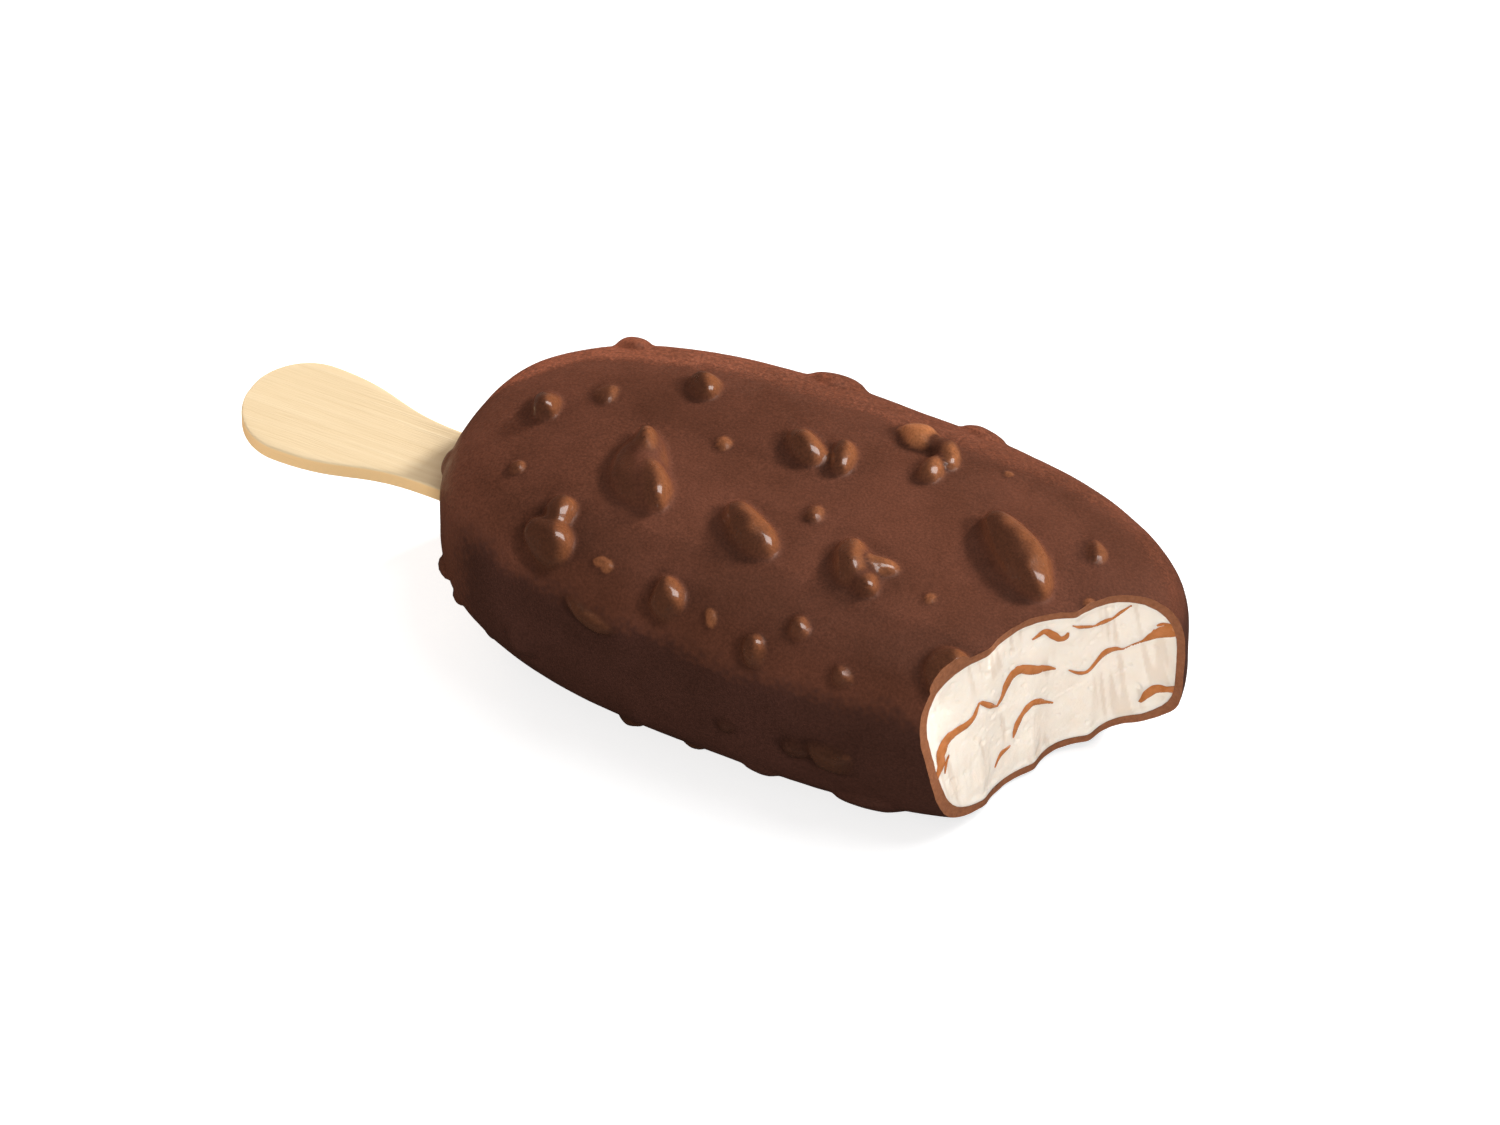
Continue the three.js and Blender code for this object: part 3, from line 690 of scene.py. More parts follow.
def ice_wall(wall, out, near_caramel):
    """Tooth marks, hollows and scrapes, calmer where the caramel is and out at the chocolate's edge."""
    places = flat_places(wall)
    lumpy = layered(places, *ICE_LUMPS)
    hollow = sum(depth * patches(places, *pit) for depth, *pit in PITS)
    moved = layered(places, *DRAG_MARKS) - ICE_SET_BACK + lumpy - hollow - STREAK_DEPTH * streaks(places)
    at_rim = smoothstep(height_above_body(wall, HALF - COATING), *RIM_SPAN)
    moved = moved * (1 - at_rim) - RIM_SET_BACK * at_rim
    moved = moved * (1 - near_caramel) + (CARAMEL_LUMPS * lumpy - CARAMEL_SET_BACK) * near_caramel
    return wall + out * moved[..., None]


def chocolate_wall(wall, out):
    return wall + out * layered(flat_places(wall), *CUT_CHOCOLATE)[..., None]


def caramel_wall(wall, out, bulge):
    lumpy = CARAMEL_LUMPS * layered(flat_places(wall), ICE_LUMPS[0])
    return wall + out * (lumpy - CARAMEL_SET_BACK + CARAMEL_BULGE * bulge)[..., None]


# ---- the caramel

STROKE_BREADTH = 1.5  # of the strokes as they spread on the bite
STROKE_UNEVEN = (0.18, 0.8)
STROKE_STEPS = 8
STROKE_SEEDS = 10
THINNEST_STROKE = 0.08
BESIDE_STROKE = 1.5


def spline(points):
    """A smooth curve through the points of a stroke."""
    points = np.array(points, float)
    ends = np.concatenate([[2 * points[0] - points[1]], points, [2 * points[-1] - points[-2]]])
    made = []
    for a, b, c, d in zip(ends[:-3], ends[1:-2], ends[2:-1], ends[3:]):
        share = np.linspace(0, 1, STROKE_STEPS, endpoint=False)[:, None]
        made.append(0.5 * (2 * b + (c - a) * share + (2 * a - 5 * b + 4 * c - d) * share ** 2
                           + (3 * b - a - 3 * c + d) * share ** 3))
    made = np.concatenate(made + [points[-1:]])
    made[:, 2] = np.maximum(made[:, 2], THINNEST_STROKE)
    return made


def stroke_curve(stroke, seed):
    curve = spline(stroke)
    curve[:, 2] *= STROKE_BREADTH * (1 + layered(curve * (1, 1, 0), (*STROKE_UNEVEN, seed)))
    return curve


def stroke_object(curve, end):
    """A stroke run into the bar as a flat-ended bar of its own outline."""
    along = np.gradient(curve[:, :2], axis=0)
    along /= norm(along, keepdims=True)
    side = np.stack([-along[:, 1], along[:, 0]], axis=-1) * curve[:, 2:] / 2
    rims = [curve[:, :2] + side, curve[:, :2] - side]
    count = len(curve)
    points = []
    for depth in (RIPPLE_START, end):
        for rim in rims:
            plan = rim[:, :1] * ACROSS + depth * INWARD
            points.append(np.concatenate([plan, rim[:, 1:]], axis=1))
    points = np.concatenate(points)
    near_left, near_right, far_left, far_right = (np.arange(count) + count * part for part in range(4))
    quads = []
    round_it = (near_left, near_right, far_right, far_left)
    for a, b in zip(round_it, round_it[1:] + round_it[:1]):
        quads.append(np.stack([a[:-1], b[:-1], b[1:], a[1:]], axis=-1))
    ends = [
        [near_left[0], far_left[0], far_right[0], near_right[0]],
        [near_left[-1], near_right[-1], far_right[-1], far_left[-1]],
    ]
    thing = make_object("stroke", points, np.concatenate(quads + [np.array(ends)]))
    face_outwards(thing)
    return thing


def face_outwards(thing):
    bm = bmesh.new()
    bm.from_mesh(thing.data)
    bmesh.ops.recalc_face_normals(bm, faces=bm.faces)
    bm.to_mesh(thing.data)
    bm.free()


def stroke_closeness(wall, curves):
    """How far each wall point is from the nearest stroke's middle, in half thicknesses and in mm."""
    places = flat_places(wall)[..., :2].reshape(-1, 2)
    ratio = np.full(len(places), FAR_OFF)
    distance = np.full(len(places), FAR_OFF)
    for curve in curves:
        low, high = curve[:, :2].min(axis=0) - BESIDE_STROKE, curve[:, :2].max(axis=0) + BESIDE_STROKE
        near = np.flatnonzero(((places > low) & (places < high)).all(axis=1))
        gaps = norm(places[near, None] - curve[None, :, :2])
        ratio[near] = np.minimum(ratio[near], (gaps / (curve[None, :, 2] / 2)).min(axis=1))
        distance[near] = np.minimum(distance[near], gaps.min(axis=1))
    return ratio.reshape(wall.shape[:2]), distance.reshape(wall.shape[:2])


# ---- the stick

EDGE_SAMPLES = 400
SLOT_MARGIN = 0.05
STICK_ROUNDING = 0.32  # of its edges
MOST_ROUNDED = 0.9  # of a section's half sizes
END_INSET = 0.002  # of the first and last sections, so that they have some breadth
END_LENGTH = 4  # with closer sections
END_SECTIONS = 26
SHAFT_SECTIONS = 130
CORNER_POINTS = 6
FLAT_POINTS = 17
STICK_GRAIN = (0.012, (9.0, 0.5, 0.5), 31)
STICK_BOW = 0.10
BOW_MIDDLE = -40
BOW_LENGTH = 30


def bezier(a, b, c, d, count):
    t = np.linspace(0, 1, count)[:, None]
    a, b, c, d = (np.array(point, float) for point in (a, b, c, d))
    return (1 - t) ** 3 * a + 3 * t * (1 - t) ** 2 * b + 3 * t ** 2 * (1 - t) * c + t ** 3 * d


def stick_half_width(x, margin):
    """Half the stick's width at each x."""
    shaft, handle = STICK_SHAFT + margin, STICK_HANDLE + margin
    end, tip = STICK_END - margin, STICK_TIP + margin
    flare = (STICK_NECK - STICK_WIDEST) / 2
    swing = STICK_ROUND * (STICK_WIDEST - end)
    edge = np.concatenate([
        bezier((end, 0), (end, STICK_ROUND * handle), (STICK_WIDEST - swing, handle),
               (STICK_WIDEST, handle), EDGE_SAMPLES),
        bezier((STICK_WIDEST, handle), (STICK_WIDEST + flare, handle), (STICK_NECK - flare, shaft),
               (STICK_NECK, shaft), EDGE_SAMPLES // 2),
    ])
    width = np.interp(x, edge[:, 0], edge[:, 1])
    at_tip = np.clip(x - (tip - shaft), 0, shaft)
    return np.where(at_tip > 0, np.sqrt(np.maximum(shaft ** 2 - at_tip ** 2, 0)), width)


def stick_object(name, margin=0.0, materials=()):
    """A tube of rounded flat sections along the stick's length."""
    low, high = STICK_END - margin, STICK_TIP + margin
    near_ends = END_LENGTH * (1 - np.cos(np.linspace(0, math.pi / 2, END_SECTIONS)))
    x = np.concatenate([
        low + near_ends,
        np.linspace(low + END_LENGTH, high - END_LENGTH, SHAFT_SECTIONS)[1:-1],
        (high - near_ends)[::-1],
    ])
    x[[0, -1]] += (END_INSET, -END_INSET)
    width = stick_half_width(x, margin)
    from_end = np.minimum(x - low, high - x)
    drop = np.maximum(STICK_ROUNDING - from_end, 0)
    thin = STICK_ROUNDING - np.sqrt(np.maximum(STICK_ROUNDING ** 2 - drop ** 2, 0))
    half_thickness = STICK_THICKNESS / 2 + margin - thin
    corner = np.linspace(0, math.pi / 2, CORNER_POINTS)
    flat = np.linspace(-1, 1, FLAT_POINTS)
    rings = []
    for at, half, tall in zip(x, width, half_thickness):
        r = min(STICK_ROUNDING, MOST_ROUNDED * half, MOST_ROUNDED * tall)
        top = [(share * (half - r), tall) for share in flat[::-1]]
        left_top = [(-(half - r) - r * math.sin(a), tall - r + r * math.cos(a)) for a in corner[1:]]
        side = [(-half, share * (tall - r)) for share in (0.5, 0, -0.5)]
        left_bottom = [(-(half - r) - r * math.cos(a), -(tall - r) - r * math.sin(a)) for a in corner[:-1]]
        ring = top + left_top + side + left_bottom
        ring += [(-y, -z) for y, z in ring]
        rings.append([(at, y, z) for y, z in ring])
    points = np.array(rings)
    count = points.shape[1]
    bow = STICK_BOW * np.sin((points[..., 0] - BOW_MIDDLE) / BOW_LENGTH)
    points[..., 2] += layered(points, STICK_GRAIN) + bow
    cos, sin = math.cos(STICK_TURN), math.sin(STICK_TURN)
    turn = np.array([[cos, sin, 0], [-sin, cos, 0], [0, 0, 1]])
    points = points @ turn + (0, STICK_MIDDLE, STICK_TOP - STICK_THICKNESS / 2)
    ids = np.arange(len(x) * count).reshape(len(x), count)
    after = np.roll(ids, -1, axis=1)
    quads = np.stack([ids[:-1], ids[1:], after[1:], after[:-1]], axis=-1).reshape(-1, 4).tolist()
    quads += [ids[0].tolist(), ids[-1][::-1].tolist()]
    thing = make_object(name, points.reshape(-1, 3), quads, materials)
    face_outwards(thing)
    return thing


# ---- materials


class Nodes:
    """Short ways to add to a node tree."""

    def __init__(self, tree):
        self.tree = tree

    def put(self, socket, value):
        """Sets a socket to a number or an sRGB colour, or links another node's output to it."""
        if isinstance(value, bpy.types.NodeSocket):
            self.tree.links.new(value, socket)
        else:
            socket.default_value = colour(value) if isinstance(value, tuple) else value

    def add(self, kind, inputs, **settings):
        node = self.tree.nodes.new("ShaderNode" + kind)
        for name, value in settings.items():
            setattr(node, name, value)
        for socket, value in inputs.items():
            self.put(node.inputs[socket], value)
        return node


class Shader(Nodes):
    """A Principled material, whose textures stay with the object."""

    def __init__(self, name, **constants):
        self.material = bpy.data.materials.new(name)
        self.material.use_nodes = True
        super().__init__(self.material.node_tree)
        self.inputs = self.tree.nodes["Principled BSDF"].inputs
        self.place = self.add("TexCoord", {}).outputs["Object"]
        for socket, value in constants.items():
            self.inputs[socket.replace("_", " ")].default_value = value

    def noise(self, size, detail=2.0, roughness=0.5, distortion=0.0):
        """Noise with features of about size millimetres (one number or three)."""
        sizes = size if isinstance(size, tuple) else (size,) * 3
        scaled = self.add("Mapping", {"Vector": self.place})
        scaled.inputs["Scale"].default_value = [1000 / part for part in sizes]
        return self.add("TexNoise", {
            "Vector": scaled.outputs["Vector"], "Scale": 1, "Detail": detail, "Roughness": roughness,
            "Distortion": distortion,
        }).outputs["Fac"]

    def attribute(self, name):
        return self.add("Attribute", {}, attribute_name=name).outputs["Fac"]

    def ramp(self, source, *stops):
        """Stops of (position, value or sRGB colour)."""
        node = self.add("ValToRGB", {"Fac": source})
        while len(node.color_ramp.elements) < len(stops):
            node.color_ramp.elements.new(0.5)
        for element, (position, value) in zip(node.color_ramp.elements, stops):
            element.position = position
            element.color = colour(value) if isinstance(value, tuple) else (value, value, value, 1)
        return node.outputs["Color"]

    def mottled(self, size, low, high, detail=3, roughness=0.5):
        """Noise from one value or sRGB colour to another."""
        return self.ramp(self.noise(size, detail, roughness), (0.3, low), (0.7, high))

    def math(self, operation, a, b):
        return self.add("Math", {0: a, 1: b}, operation=operation).outputs["Value"]

    def mix(self, share, a, b, blend="MIX"):
        return self.add("Mix", {0: share, 6: a, 7: b}, data_type="RGBA", blend_type=blend).outputs[2]

    def multiplied(self, tone, source, *stops):
        return self.mix(1.0, tone, self.ramp(source, *stops), "MULTIPLY")

    def finish(self, tone, roughness, *bumps):
        """Bumps are (height source, depth in millimetres)."""
        self.put(self.inputs["Base Color"], tone)
        self.put(self.inputs["Roughness"], roughness)
        under = {}
        for source, depth in bumps:
            node = self.add("Bump", {"Strength": 1, "Distance": depth * 0.001, "Height": source, **under})
            under = {"Normal": node.outputs["Normal"]}
        if under:
            self.put(self.inputs["Normal"], under["Normal"])
        return self.material


def colour(rgb):
    """An sRGB colour of 0 to 255 as a linear RGBA one. A multiplier may be brighter than white."""
    linear = [(part / 255 / 12.92) if part <= 10 else ((part / 255 + 0.055) / 1.055) ** 2.4 for part in rgb]
    return (*linear, 1)


# Multipliers of the coating's colour, by stops, where the attributes made in mark_tones() rise: a swathe of
#  painted light along the top, a band of painted rim light at the far edge, and painted shade low on the
#  sides.
TONES = {
    "painted_light_swathe": ((0.2, 0.91), (0.8, 1.1)),
    "painted_rim_light": ((0.25, 1.0), (0.45, (268, 262, 258)), (0.7, (296, 288, 282)), (1.0, (350, 338, 328))),
    "side": ((0.25, 1.0), (0.75, (190, 199, 216))),
}
STIPPLE = 1.6  # how far the speckle breaks up the tones' borders


def chocolate_material():
    made = Shader(
        "chocolate_coating", IOR=1.45, Specular_IOR_Level=0.25, Specular_Tint=(1.0, 0.8, 0.7, 1),
        Coat_Roughness=0.12, Coat_IOR=1.7,
    )
    body = made.mottled(9, (78, 45, 32), (92, 54, 40))
    speckle = made.noise(0.6, detail=4, roughness=0.75)
    stipple = made.math("MULTIPLY", made.math("SUBTRACT", speckle, 0.5), STIPPLE)
    # Painted light and painted shade, by the tones in TONES.
    for name, stops in TONES.items():
        body = made.multiplied(body, made.math("ADD", made.attribute(name), stipple), *stops)
    # Painted shade on each nut's side away from the lights, and a painted shadow beside it.
    body = made.multiplied(body, made.attribute("painted_shade"), (0.0, 1.0), (1.0, 0.5))
    # The nut showing through the chocolate; its mask puts this lighter tone mostly on the side facing the
    # lights, as painted light.
    over_nut = made.mix(made.attribute("pale"), (105, 59, 34), (160, 100, 62))
    body = made.mix(made.math("MULTIPLY", made.attribute("lump"), 0.9), body, over_nut)
    grain = made.noise(0.3, detail=3, roughness=0.7)
    body = made.multiplied(body, grain, (0.36, 0.8), (0.66, 1.2))
    gloss = made.attribute("gloss")
    made.put(made.inputs["Coat Weight"], made.math("MULTIPLY", gloss, 0.9))
    roughness = made.mix(gloss, made.mottled(2.2, 0.4, 0.54, detail=4), made.mottled(1.2, 0.26, 0.36))
    return made.finish(body, roughness, (grain, 0.045), (made.noise(1.1, detail=3), 0.05))


def cut_chocolate_material():
    made = Shader("cut_chocolate", IOR=1.45)
    tone = made.mottled(0.5, (130, 80, 52), (154, 98, 66), detail=4, roughness=0.65)
    return made.finish(tone, 0.62, (made.noise(0.3, detail=4, roughness=0.65), 0.09))


def ice_cream_material():
    made = Shader(
        "ice_cream", IOR=1.33, Subsurface_Weight=0.4, Subsurface_Radius=(1.0, 0.85, 0.7),
        Subsurface_Scale=0.0012, Coat_Weight=0.1, Coat_Roughness=0.3,
    )
    tone = made.mottled(2.4, (245, 231, 216), (249, 237, 223), detail=4)
    tone = made.mix(made.math("MULTIPLY", made.attribute("furrow"), 0.62), tone, (224, 207, 189))
    roughness = made.mottled(0.8, 0.42, 0.6)
    return made.finish(tone, roughness, (made.noise(0.22, detail=3, roughness=0.6), 0.05))


def caramel_material():
    made = Shader(
        "caramel", IOR=1.48, Subsurface_Weight=0.15, Subsurface_Radius=(1.0, 0.45, 0.2),
        Subsurface_Scale=0.0004, Coat_Weight=0.4, Coat_Roughness=0.08,
    )
    tone = made.mottled(0.9, (176, 107, 57), (197, 125, 75))
    return made.finish(tone, made.mottled(0.6, 0.16, 0.28, detail=2), (made.noise(0.5), 0.03))


def wood_material():
    made = Shader("stick_wood", IOR=1.45)
    grain = made.noise((26, 0.55, 0.55), detail=5, roughness=0.6, distortion=0.25)
    tone = made.ramp(grain, (0.25, (203, 181, 144)), (0.5, (209, 188, 152)), (0.8, (214, 195, 161)))
    tone = made.mix(made.attribute("edge"), tone, (224, 188, 136))
    pores = made.ramp(made.noise((5, 0.16, 0.16)), (0.62, 0.0), (0.74, 1.0))
    tone = made.mix(made.math("MULTIPLY", pores, 0.15), tone, (172, 136, 96))
    return made.finish(tone, 0.62, (grain, 0.05), (made.noise((3, 0.12, 0.12)), 0.03))


def floor_material():
    """A pale floor that glows a little where it is seen, and throws back less light than it shows."""
    made = Shader("studio_floor", Specular_IOR_Level=0.1, Emission_Color=(1, 1, 1, 1))
    seen = made.mottled(400, (205, 205, 205), (208, 208, 208), detail=2)
    rays = made.add("LightPath", {}).outputs
    made.put(made.inputs["Emission Strength"], made.math("MULTIPLY", rays["Is Camera Ray"], 0.65))
    thrown = made.mix(rays["Is Glossy Ray"], (164, 160, 156), (74, 64, 58))
    return made.finish(made.mix(rays["Is Camera Ray"], thrown, seen), 0.9)


# ---- camera

CAMERA_AZIMUTH = math.radians(25.96)
CAMERA_ELEVATION = math.radians(45)
CAMERA_DISTANCE = 1.25
FRAME_WIDTH = 0.168
AIM_LEFT = 0.00698
AIM_UP = 0.00186
SENSOR = 36

right = Vector((math.cos(CAMERA_AZIMUTH), math.sin(CAMERA_AZIMUTH), 0))
back = Vector((
    math.sin(CAMERA_AZIMUTH) * math.cos(CAMERA_ELEVATION),
    -math.cos(CAMERA_AZIMUTH) * math.cos(CAMERA_ELEVATION),
    math.sin(CAMERA_ELEVATION),
))
up = back.cross(right)
centre = Vector((0, 0, LIFT * 0.001))


def aimed(name, data, location, direction):
    """A camera or a light that looks along direction."""
    thing = link(bpy.data.objects.new(name, data))
    thing.location = location
    thing.rotation_mode = "QUATERNION"
    thing.rotation_quaternion = direction.to_track_quat("-Z", "Y")
    return thing


eye = centre + back * CAMERA_DISTANCE
aim = centre - right * AIM_LEFT + up * AIM_UP
camera_data = bpy.data.cameras.new("camera")
camera_data.sensor_width = SENSOR
camera_data.lens = SENSOR * CAMERA_DISTANCE / FRAME_WIDTH
camera_data.clip_start = 0.05
camera_data.clip_end = 50
bpy.context.scene.camera = aimed("camera", camera_data, eye, aim - eye)

# ---- pieces

chocolate = chocolate_material()
cut_chocolate = cut_chocolate_material()
ice = ice_cream_material()
caramel = caramel_material()
wood = wood_material()

nuts = all_nuts()
curves = {
    name: [stroke_curve(stroke, STROKE_SEEDS * (4 + index) + part) for part, stroke in enumerate(strokes)]
    for index, (name, strokes) in enumerate(RIPPLES.items())
}
every_curve = [curve for group in curves.values() for curve in group]

wall, out = bite_wall(WALL_STEP)
fine_wall, fine_out = bite_wall(CARAMEL_STEP)
distance = stroke_closeness(wall, every_curve)[1]
ratio = stroke_closeness(fine_wall, every_curve)[0]
bulge = np.sqrt(np.clip(1 - ratio ** 2, 0, 1))

shell_cutter = bite_cutter("shell_cutter", chocolate_wall(wall, out), [chocolate, cut_chocolate], 1)
ice_cutter = bite_cutter("ice_cutter", ice_wall(wall, out, smoothstep(-distance, *NEAR_CARAMEL)))
caramel_cutter = bite_cutter("caramel_cutter", caramel_wall(fine_wall, fine_out, bulge))

inner = make_object("inner", *inner_surface())
slot = stick_object("slot", SLOT_MARGIN)
coating = make_object("coating", *coating_surface(lumps_of(nuts)), [chocolate, cut_chocolate])
combine(coating, ("DIFFERENCE", inner), ("DIFFERENCE", shell_cutter), ("DIFFERENCE", slot))

strokes = {
    name: [stroke_object(curve, LONG_END if name == "long" else RIPPLE_END) for curve in group]
    for name, group in curves.items()
}
filling = make_object("filling", *inner_surface(), [ice])
combine(
    filling,
    ("DIFFERENCE", ice_cutter),
    ("DIFFERENCE", slot),
    *[("DIFFERENCE", part) for parts in strokes.values() for part in parts],
)

ribbons = {}
for name, parts in strokes.items():
    for part in parts:
        part.data.materials.append(caramel)
        combine(part, ("INTERSECT", inner), ("DIFFERENCE", caramel_cutter))
    ribbon = ribbons[name] = parts[0]
    if len(parts) > 1:
        with bpy.context.temp_override(
            active_object=ribbon, object=ribbon, selected_objects=parts, selected_editable_objects=parts
        ):
            bpy.ops.object.join()
    ribbon.name = "ripple_" + name

stick = stick_object("stick_wood", materials=[wood])
for cutter in (inner, slot, shell_cutter, ice_cutter, caramel_cutter):
    bpy.data.meshes.remove(cutter.data)  # and its object with it


def shade(thing, sharp_angle=None):
    """Smooth shading, apart from edges between two materials or sharper than the angle."""
    mesh = thing.data
    mesh.shade_smooth()
    bm = bmesh.new()
    bm.from_mesh(mesh)
    for edge in bm.edges:
        if len(edge.link_faces) != 2:
            continue
        first, second = edge.link_faces
        steep = sharp_angle is not None and edge.calc_face_angle(0) > sharp_angle
        edge.smooth = not (steep or first.material_index != second.material_index)
    bm.to_mesh(mesh)
    bm.free()


def add_attribute(thing, name, values):
    made = thing.data.attributes.new(name, "FLOAT", "POINT")
    made.data.foreach_set("value", np.asarray(values, dtype=np.float32))


def at_least(least, share):
    return least + (1 - least) * share


# The side of each nut facing the lights, where a lighter tone is painted as painted light.
LIT_SIDE = np.array([0.78, 0.24, 0.58])
LIT_SIDE_UNEVEN = (0.12, 1.3, 61)
LIT_SIDE_SPAN = (0.4, 0.9)
# A painted shadow beside each nut on its side away from the lights, shifted further for taller nuts.
SHADED_SIDE = np.array([-0.75, -0.66, 0.0])
SHADE_SHIFT = (0.3, 0.5)  # in mm, and for each mm of a nut's height
SHADE_SPAN = (-0.8, 0.3)
SHADE = 0.75
NUT_EDGE = (-0.3, -0.02)
AROUND_NUT = 3.5
TONE_RISE = (0.1, 1.0)
GLOSS_RISE = (0.12, 0.75)


def mark_nuts(thing):
    """Where the nuts show through the chocolate, mostly at their tops, with painted light on each nut's
    side facing the lights, painted shade on its other side and a painted shadow beside it."""
    points = vertices_of(thing)
    lump, pale, beside = np.zeros((3, len(points)))
    for nut in nuts:
        near = near_nut(points, nut, AROUND_NUT)
        inside = smoothstep(-nut_distance(points[near], nut), *NUT_EDGE)
        stronger = inside > lump[near]
        lump[near[stronger]] = inside[stronger]
        pale[near[stronger]] = nut.pale
        if nut.pale >= 0:
            normal = nut.axes[2]
            shift = SHADE_SHIFT[0] + SHADE_SHIFT[1] * nut.sizes[2]
            moved = points[near] - shift * (SHADED_SIDE - (SHADED_SIDE @ normal) * normal)
            beside[near] = np.maximum(beside[near], smoothstep(-nut_distance(moved, nut), *SHADE_SPAN))
    height = height_above_body(points)
    skin = lump * np.clip(1 + pale, 0, 1)
    tone = skin * at_least(0.4, smoothstep(height, *TONE_RISE))
    pale = np.clip(pale, 0, 1)
    # Painted light on the side of each nut facing the lights, and all over a pale nut that shows through.
    thin = smoothstep(normals_of(thing) @ LIT_SIDE + layered(points, LIT_SIDE_UNEVEN), *LIT_SIDE_SPAN)
    thin = np.maximum(thin, 0.9 * pale ** 4)
    add_attribute(thing, "gloss", skin * at_least(0.1, smoothstep(height, *GLOSS_RISE)))
    # Painted shade on each nut's side away from the lights, and a painted shadow beside it.
    add_attribute(thing, "painted_shade", np.maximum(tone * (1 - thin), SHADE * beside * (1 - lump * thin)))
    # The nut showing through the chocolate, mostly on its side facing the lights, as painted light.
    add_attribute(thing, "lump", tone * at_least(0.15, thin))
    add_attribute(thing, "pale", pale)


# The near border of the band of painted rim light, by x.
RIM_LIGHT_BORDER = [(-44, 1), (-33.5, 9.8), (-21, 14), (-12, 15), (21, 15.4), (30, 14), (38, 9.5), (44, 3)]
RIM_LIGHT_LEVEL = 0.6
# The painted shade low on the sides: the depths over which it comes in, and its unevenness.
LOW_SHADE_SPAN = (-10.5, -3.5)
LOW_SHADE_UNEVEN = ((1.2, 5.0, 62), (0.6, 1.1, 63))
TONE_UNEVEN = ((0.9, 7.0, 71), (0.3, 1.4, 72))


def mark_tones(thing):
    """A swathe of painted light along the top, a band of painted rim light at its far edge,
    and painted shade low on the sides.
    """
    points = vertices_of(thing)
    x, y, z = points.T
    uneven = layered(points, *TONE_UNEVEN)
    # Painted light: a lighter swathe along the top, standing in for a broad pool of light.
    further = smoothstep(x, -20, 12) * smoothstep(-y + uneven, -14.5, -11)
    painted_light_swathe = np.maximum(smoothstep(-y + uneven, -4.5, -0.5), further)
    painted_light_swathe *= smoothstep(y + uneven, -13.2, -10.2) * smoothstep(x + uneven, -31, -20)
    painted_light_swathe *= smoothstep(-x - 0.3 * y + uneven, -34, -29) * smoothstep(z, 8, 11)
    # Painted light at the left end, where the lamps' light falls off.
    at_left = smoothstep(-x - 0.5 * y + uneven, 28, 42) * smoothstep(z, 4, 9)
    add_attribute(thing, "painted_light_swathe", np.maximum(painted_light_swathe, 0.6 * at_left))
    border = np.interp(x, *np.array(RIM_LIGHT_BORDER).T)
    # More painted light on the near flanks of the hidden nuts at the far edge, where their shade would
    # show.
    facing_near = slope(points)[0][:, 1] - normals_of(thing)[:, 1]
    level = RIM_LIGHT_LEVEL + 0.26 * smoothstep(-x, 5, 25) - 0.12 * smoothstep(x, 15, 35)
    level += 0.22 * smoothstep(facing_near, 0.08, 0.4)
    level *= smoothstep(z, 1, 6) * smoothstep(y - border + 0.7 * uneven, -1.3, 1.3)
    add_attribute(thing, "painted_rim_light", level)
    # Painted shade: the coating darker low on the sides, less so at the left end.
    below = smoothstep(-z - layered(points, *LOW_SHADE_UNEVEN), *LOW_SHADE_SPAN)
    add_attribute(thing, "side", below * (1 - smoothstep(-x, 30, 41)))


mark_nuts(coating)
mark_tones(coating)
shade(coating)
add_attribute(filling, "furrow", streaks(flat_places(vertices_of(filling))))
shade(filling, math.radians(60))
for ribbon in ribbons.values():
    shade(ribbon, math.radians(50))
add_attribute(stick, "edge", smoothstep(-np.abs(normals_of(stick)[:, 2]), -0.8, -0.3))
shade(stick, math.radians(50))

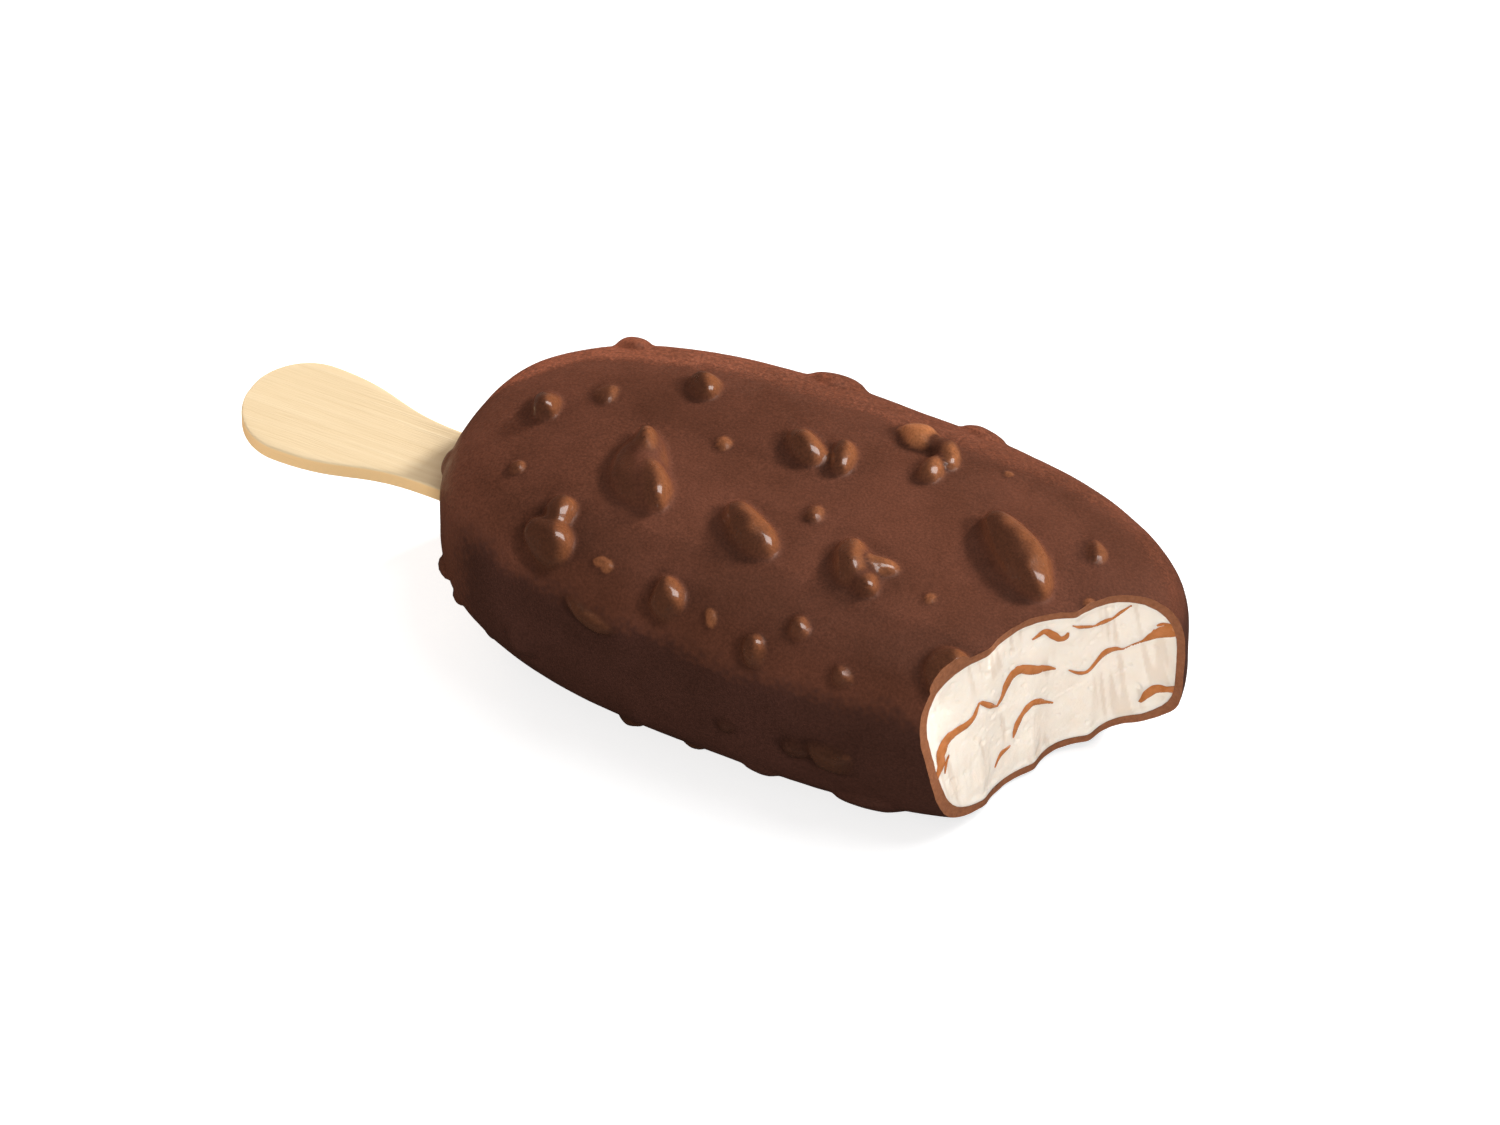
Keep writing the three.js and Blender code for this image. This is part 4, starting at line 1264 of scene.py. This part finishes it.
for thing, node, slot_name in [
    (coating, "chocolate_shell", "chocolate"),
    (filling, "ice_cream", "ice_cream"),
    (stick, "stick", "stick_wood"),
    *[(ribbon, "caramel_" + name, "caramel") for name, ribbon in ribbons.items()],
]:
    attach(thing, "root")
    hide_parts(node)

# ---- studio

FLOOR_REACH = 8000
UNDER_BAR = 0.02
corners = [(-1, -1), (1, -1), (1, 1), (-1, 1)]
corners = [(FLOOR_REACH * x, FLOOR_REACH * y, FLOOR - UNDER_BAR) for x, y in corners]
make_object("floor", corners, [range(4)], [floor_material()])


def softbox(name, azimuth, elevation, distance, size, watts, tint=(1, 1, 1), glossy=True):
    """A square light. Azimuth 0 is to the camera's right and 90 towards the camera."""
    a, e = math.radians(azimuth), math.radians(elevation)
    towards = Vector((back.x, back.y, 0)).normalized()
    direction = (right * math.cos(a) + towards * math.sin(a)) * math.cos(e) + Vector((0, 0, math.sin(e)))
    data = bpy.data.lights.new(name, "AREA")
    data.shape = "RECTANGLE"
    data.size, data.size_y = size
    data.energy = watts
    data.color = tint
    light = aimed(name, data, centre + direction * distance, -direction)
    light.visible_glossy = glossy


softbox("key", -36, 24, 2.0, (0.28, 0.28), 60, glossy=False)
softbox("bite", 84, 14, 2.0, (0.5, 0.5), 26, glossy=False)
softbox("glint", -8, 58, 2.0, (0.9, 1.6), 21)
softbox("rim", -105, 9, 1.8, (2.2, 0.6), 32, (1, 0.74, 0.58), glossy=False)
softbox("left", 178, 12, 2.0, (0.8, 0.5), 20, (1, 0.9, 0.84), glossy=False)

world = bpy.data.worlds.new("studio")
world.use_nodes = True
bpy.context.scene.world = world
studio = Nodes(world.node_tree)
path = studio.add("LightPath", {})


def background(strength, tint=(1, 1, 1)):
    node = studio.add("Background", {"Strength": strength})
    node.inputs["Color"].default_value = (*tint, 1)
    return node.outputs["Background"]


def choose(ray, otherwise, chosen):
    """One background for a kind of ray, and another for the rest."""
    return studio.add("MixShader", {0: path.outputs[ray], 1: otherwise, 2: chosen}).outputs["Shader"]


around = choose("Is Glossy Ray", background(0.21), background(0.06, (1, 0.78, 0.66)))
around = choose("Is Camera Ray", around, background(0.93))
studio.put(world.node_tree.nodes["World Output"].inputs["Surface"], around)
bpy.context.scene.view_settings.view_transform = "Standard"
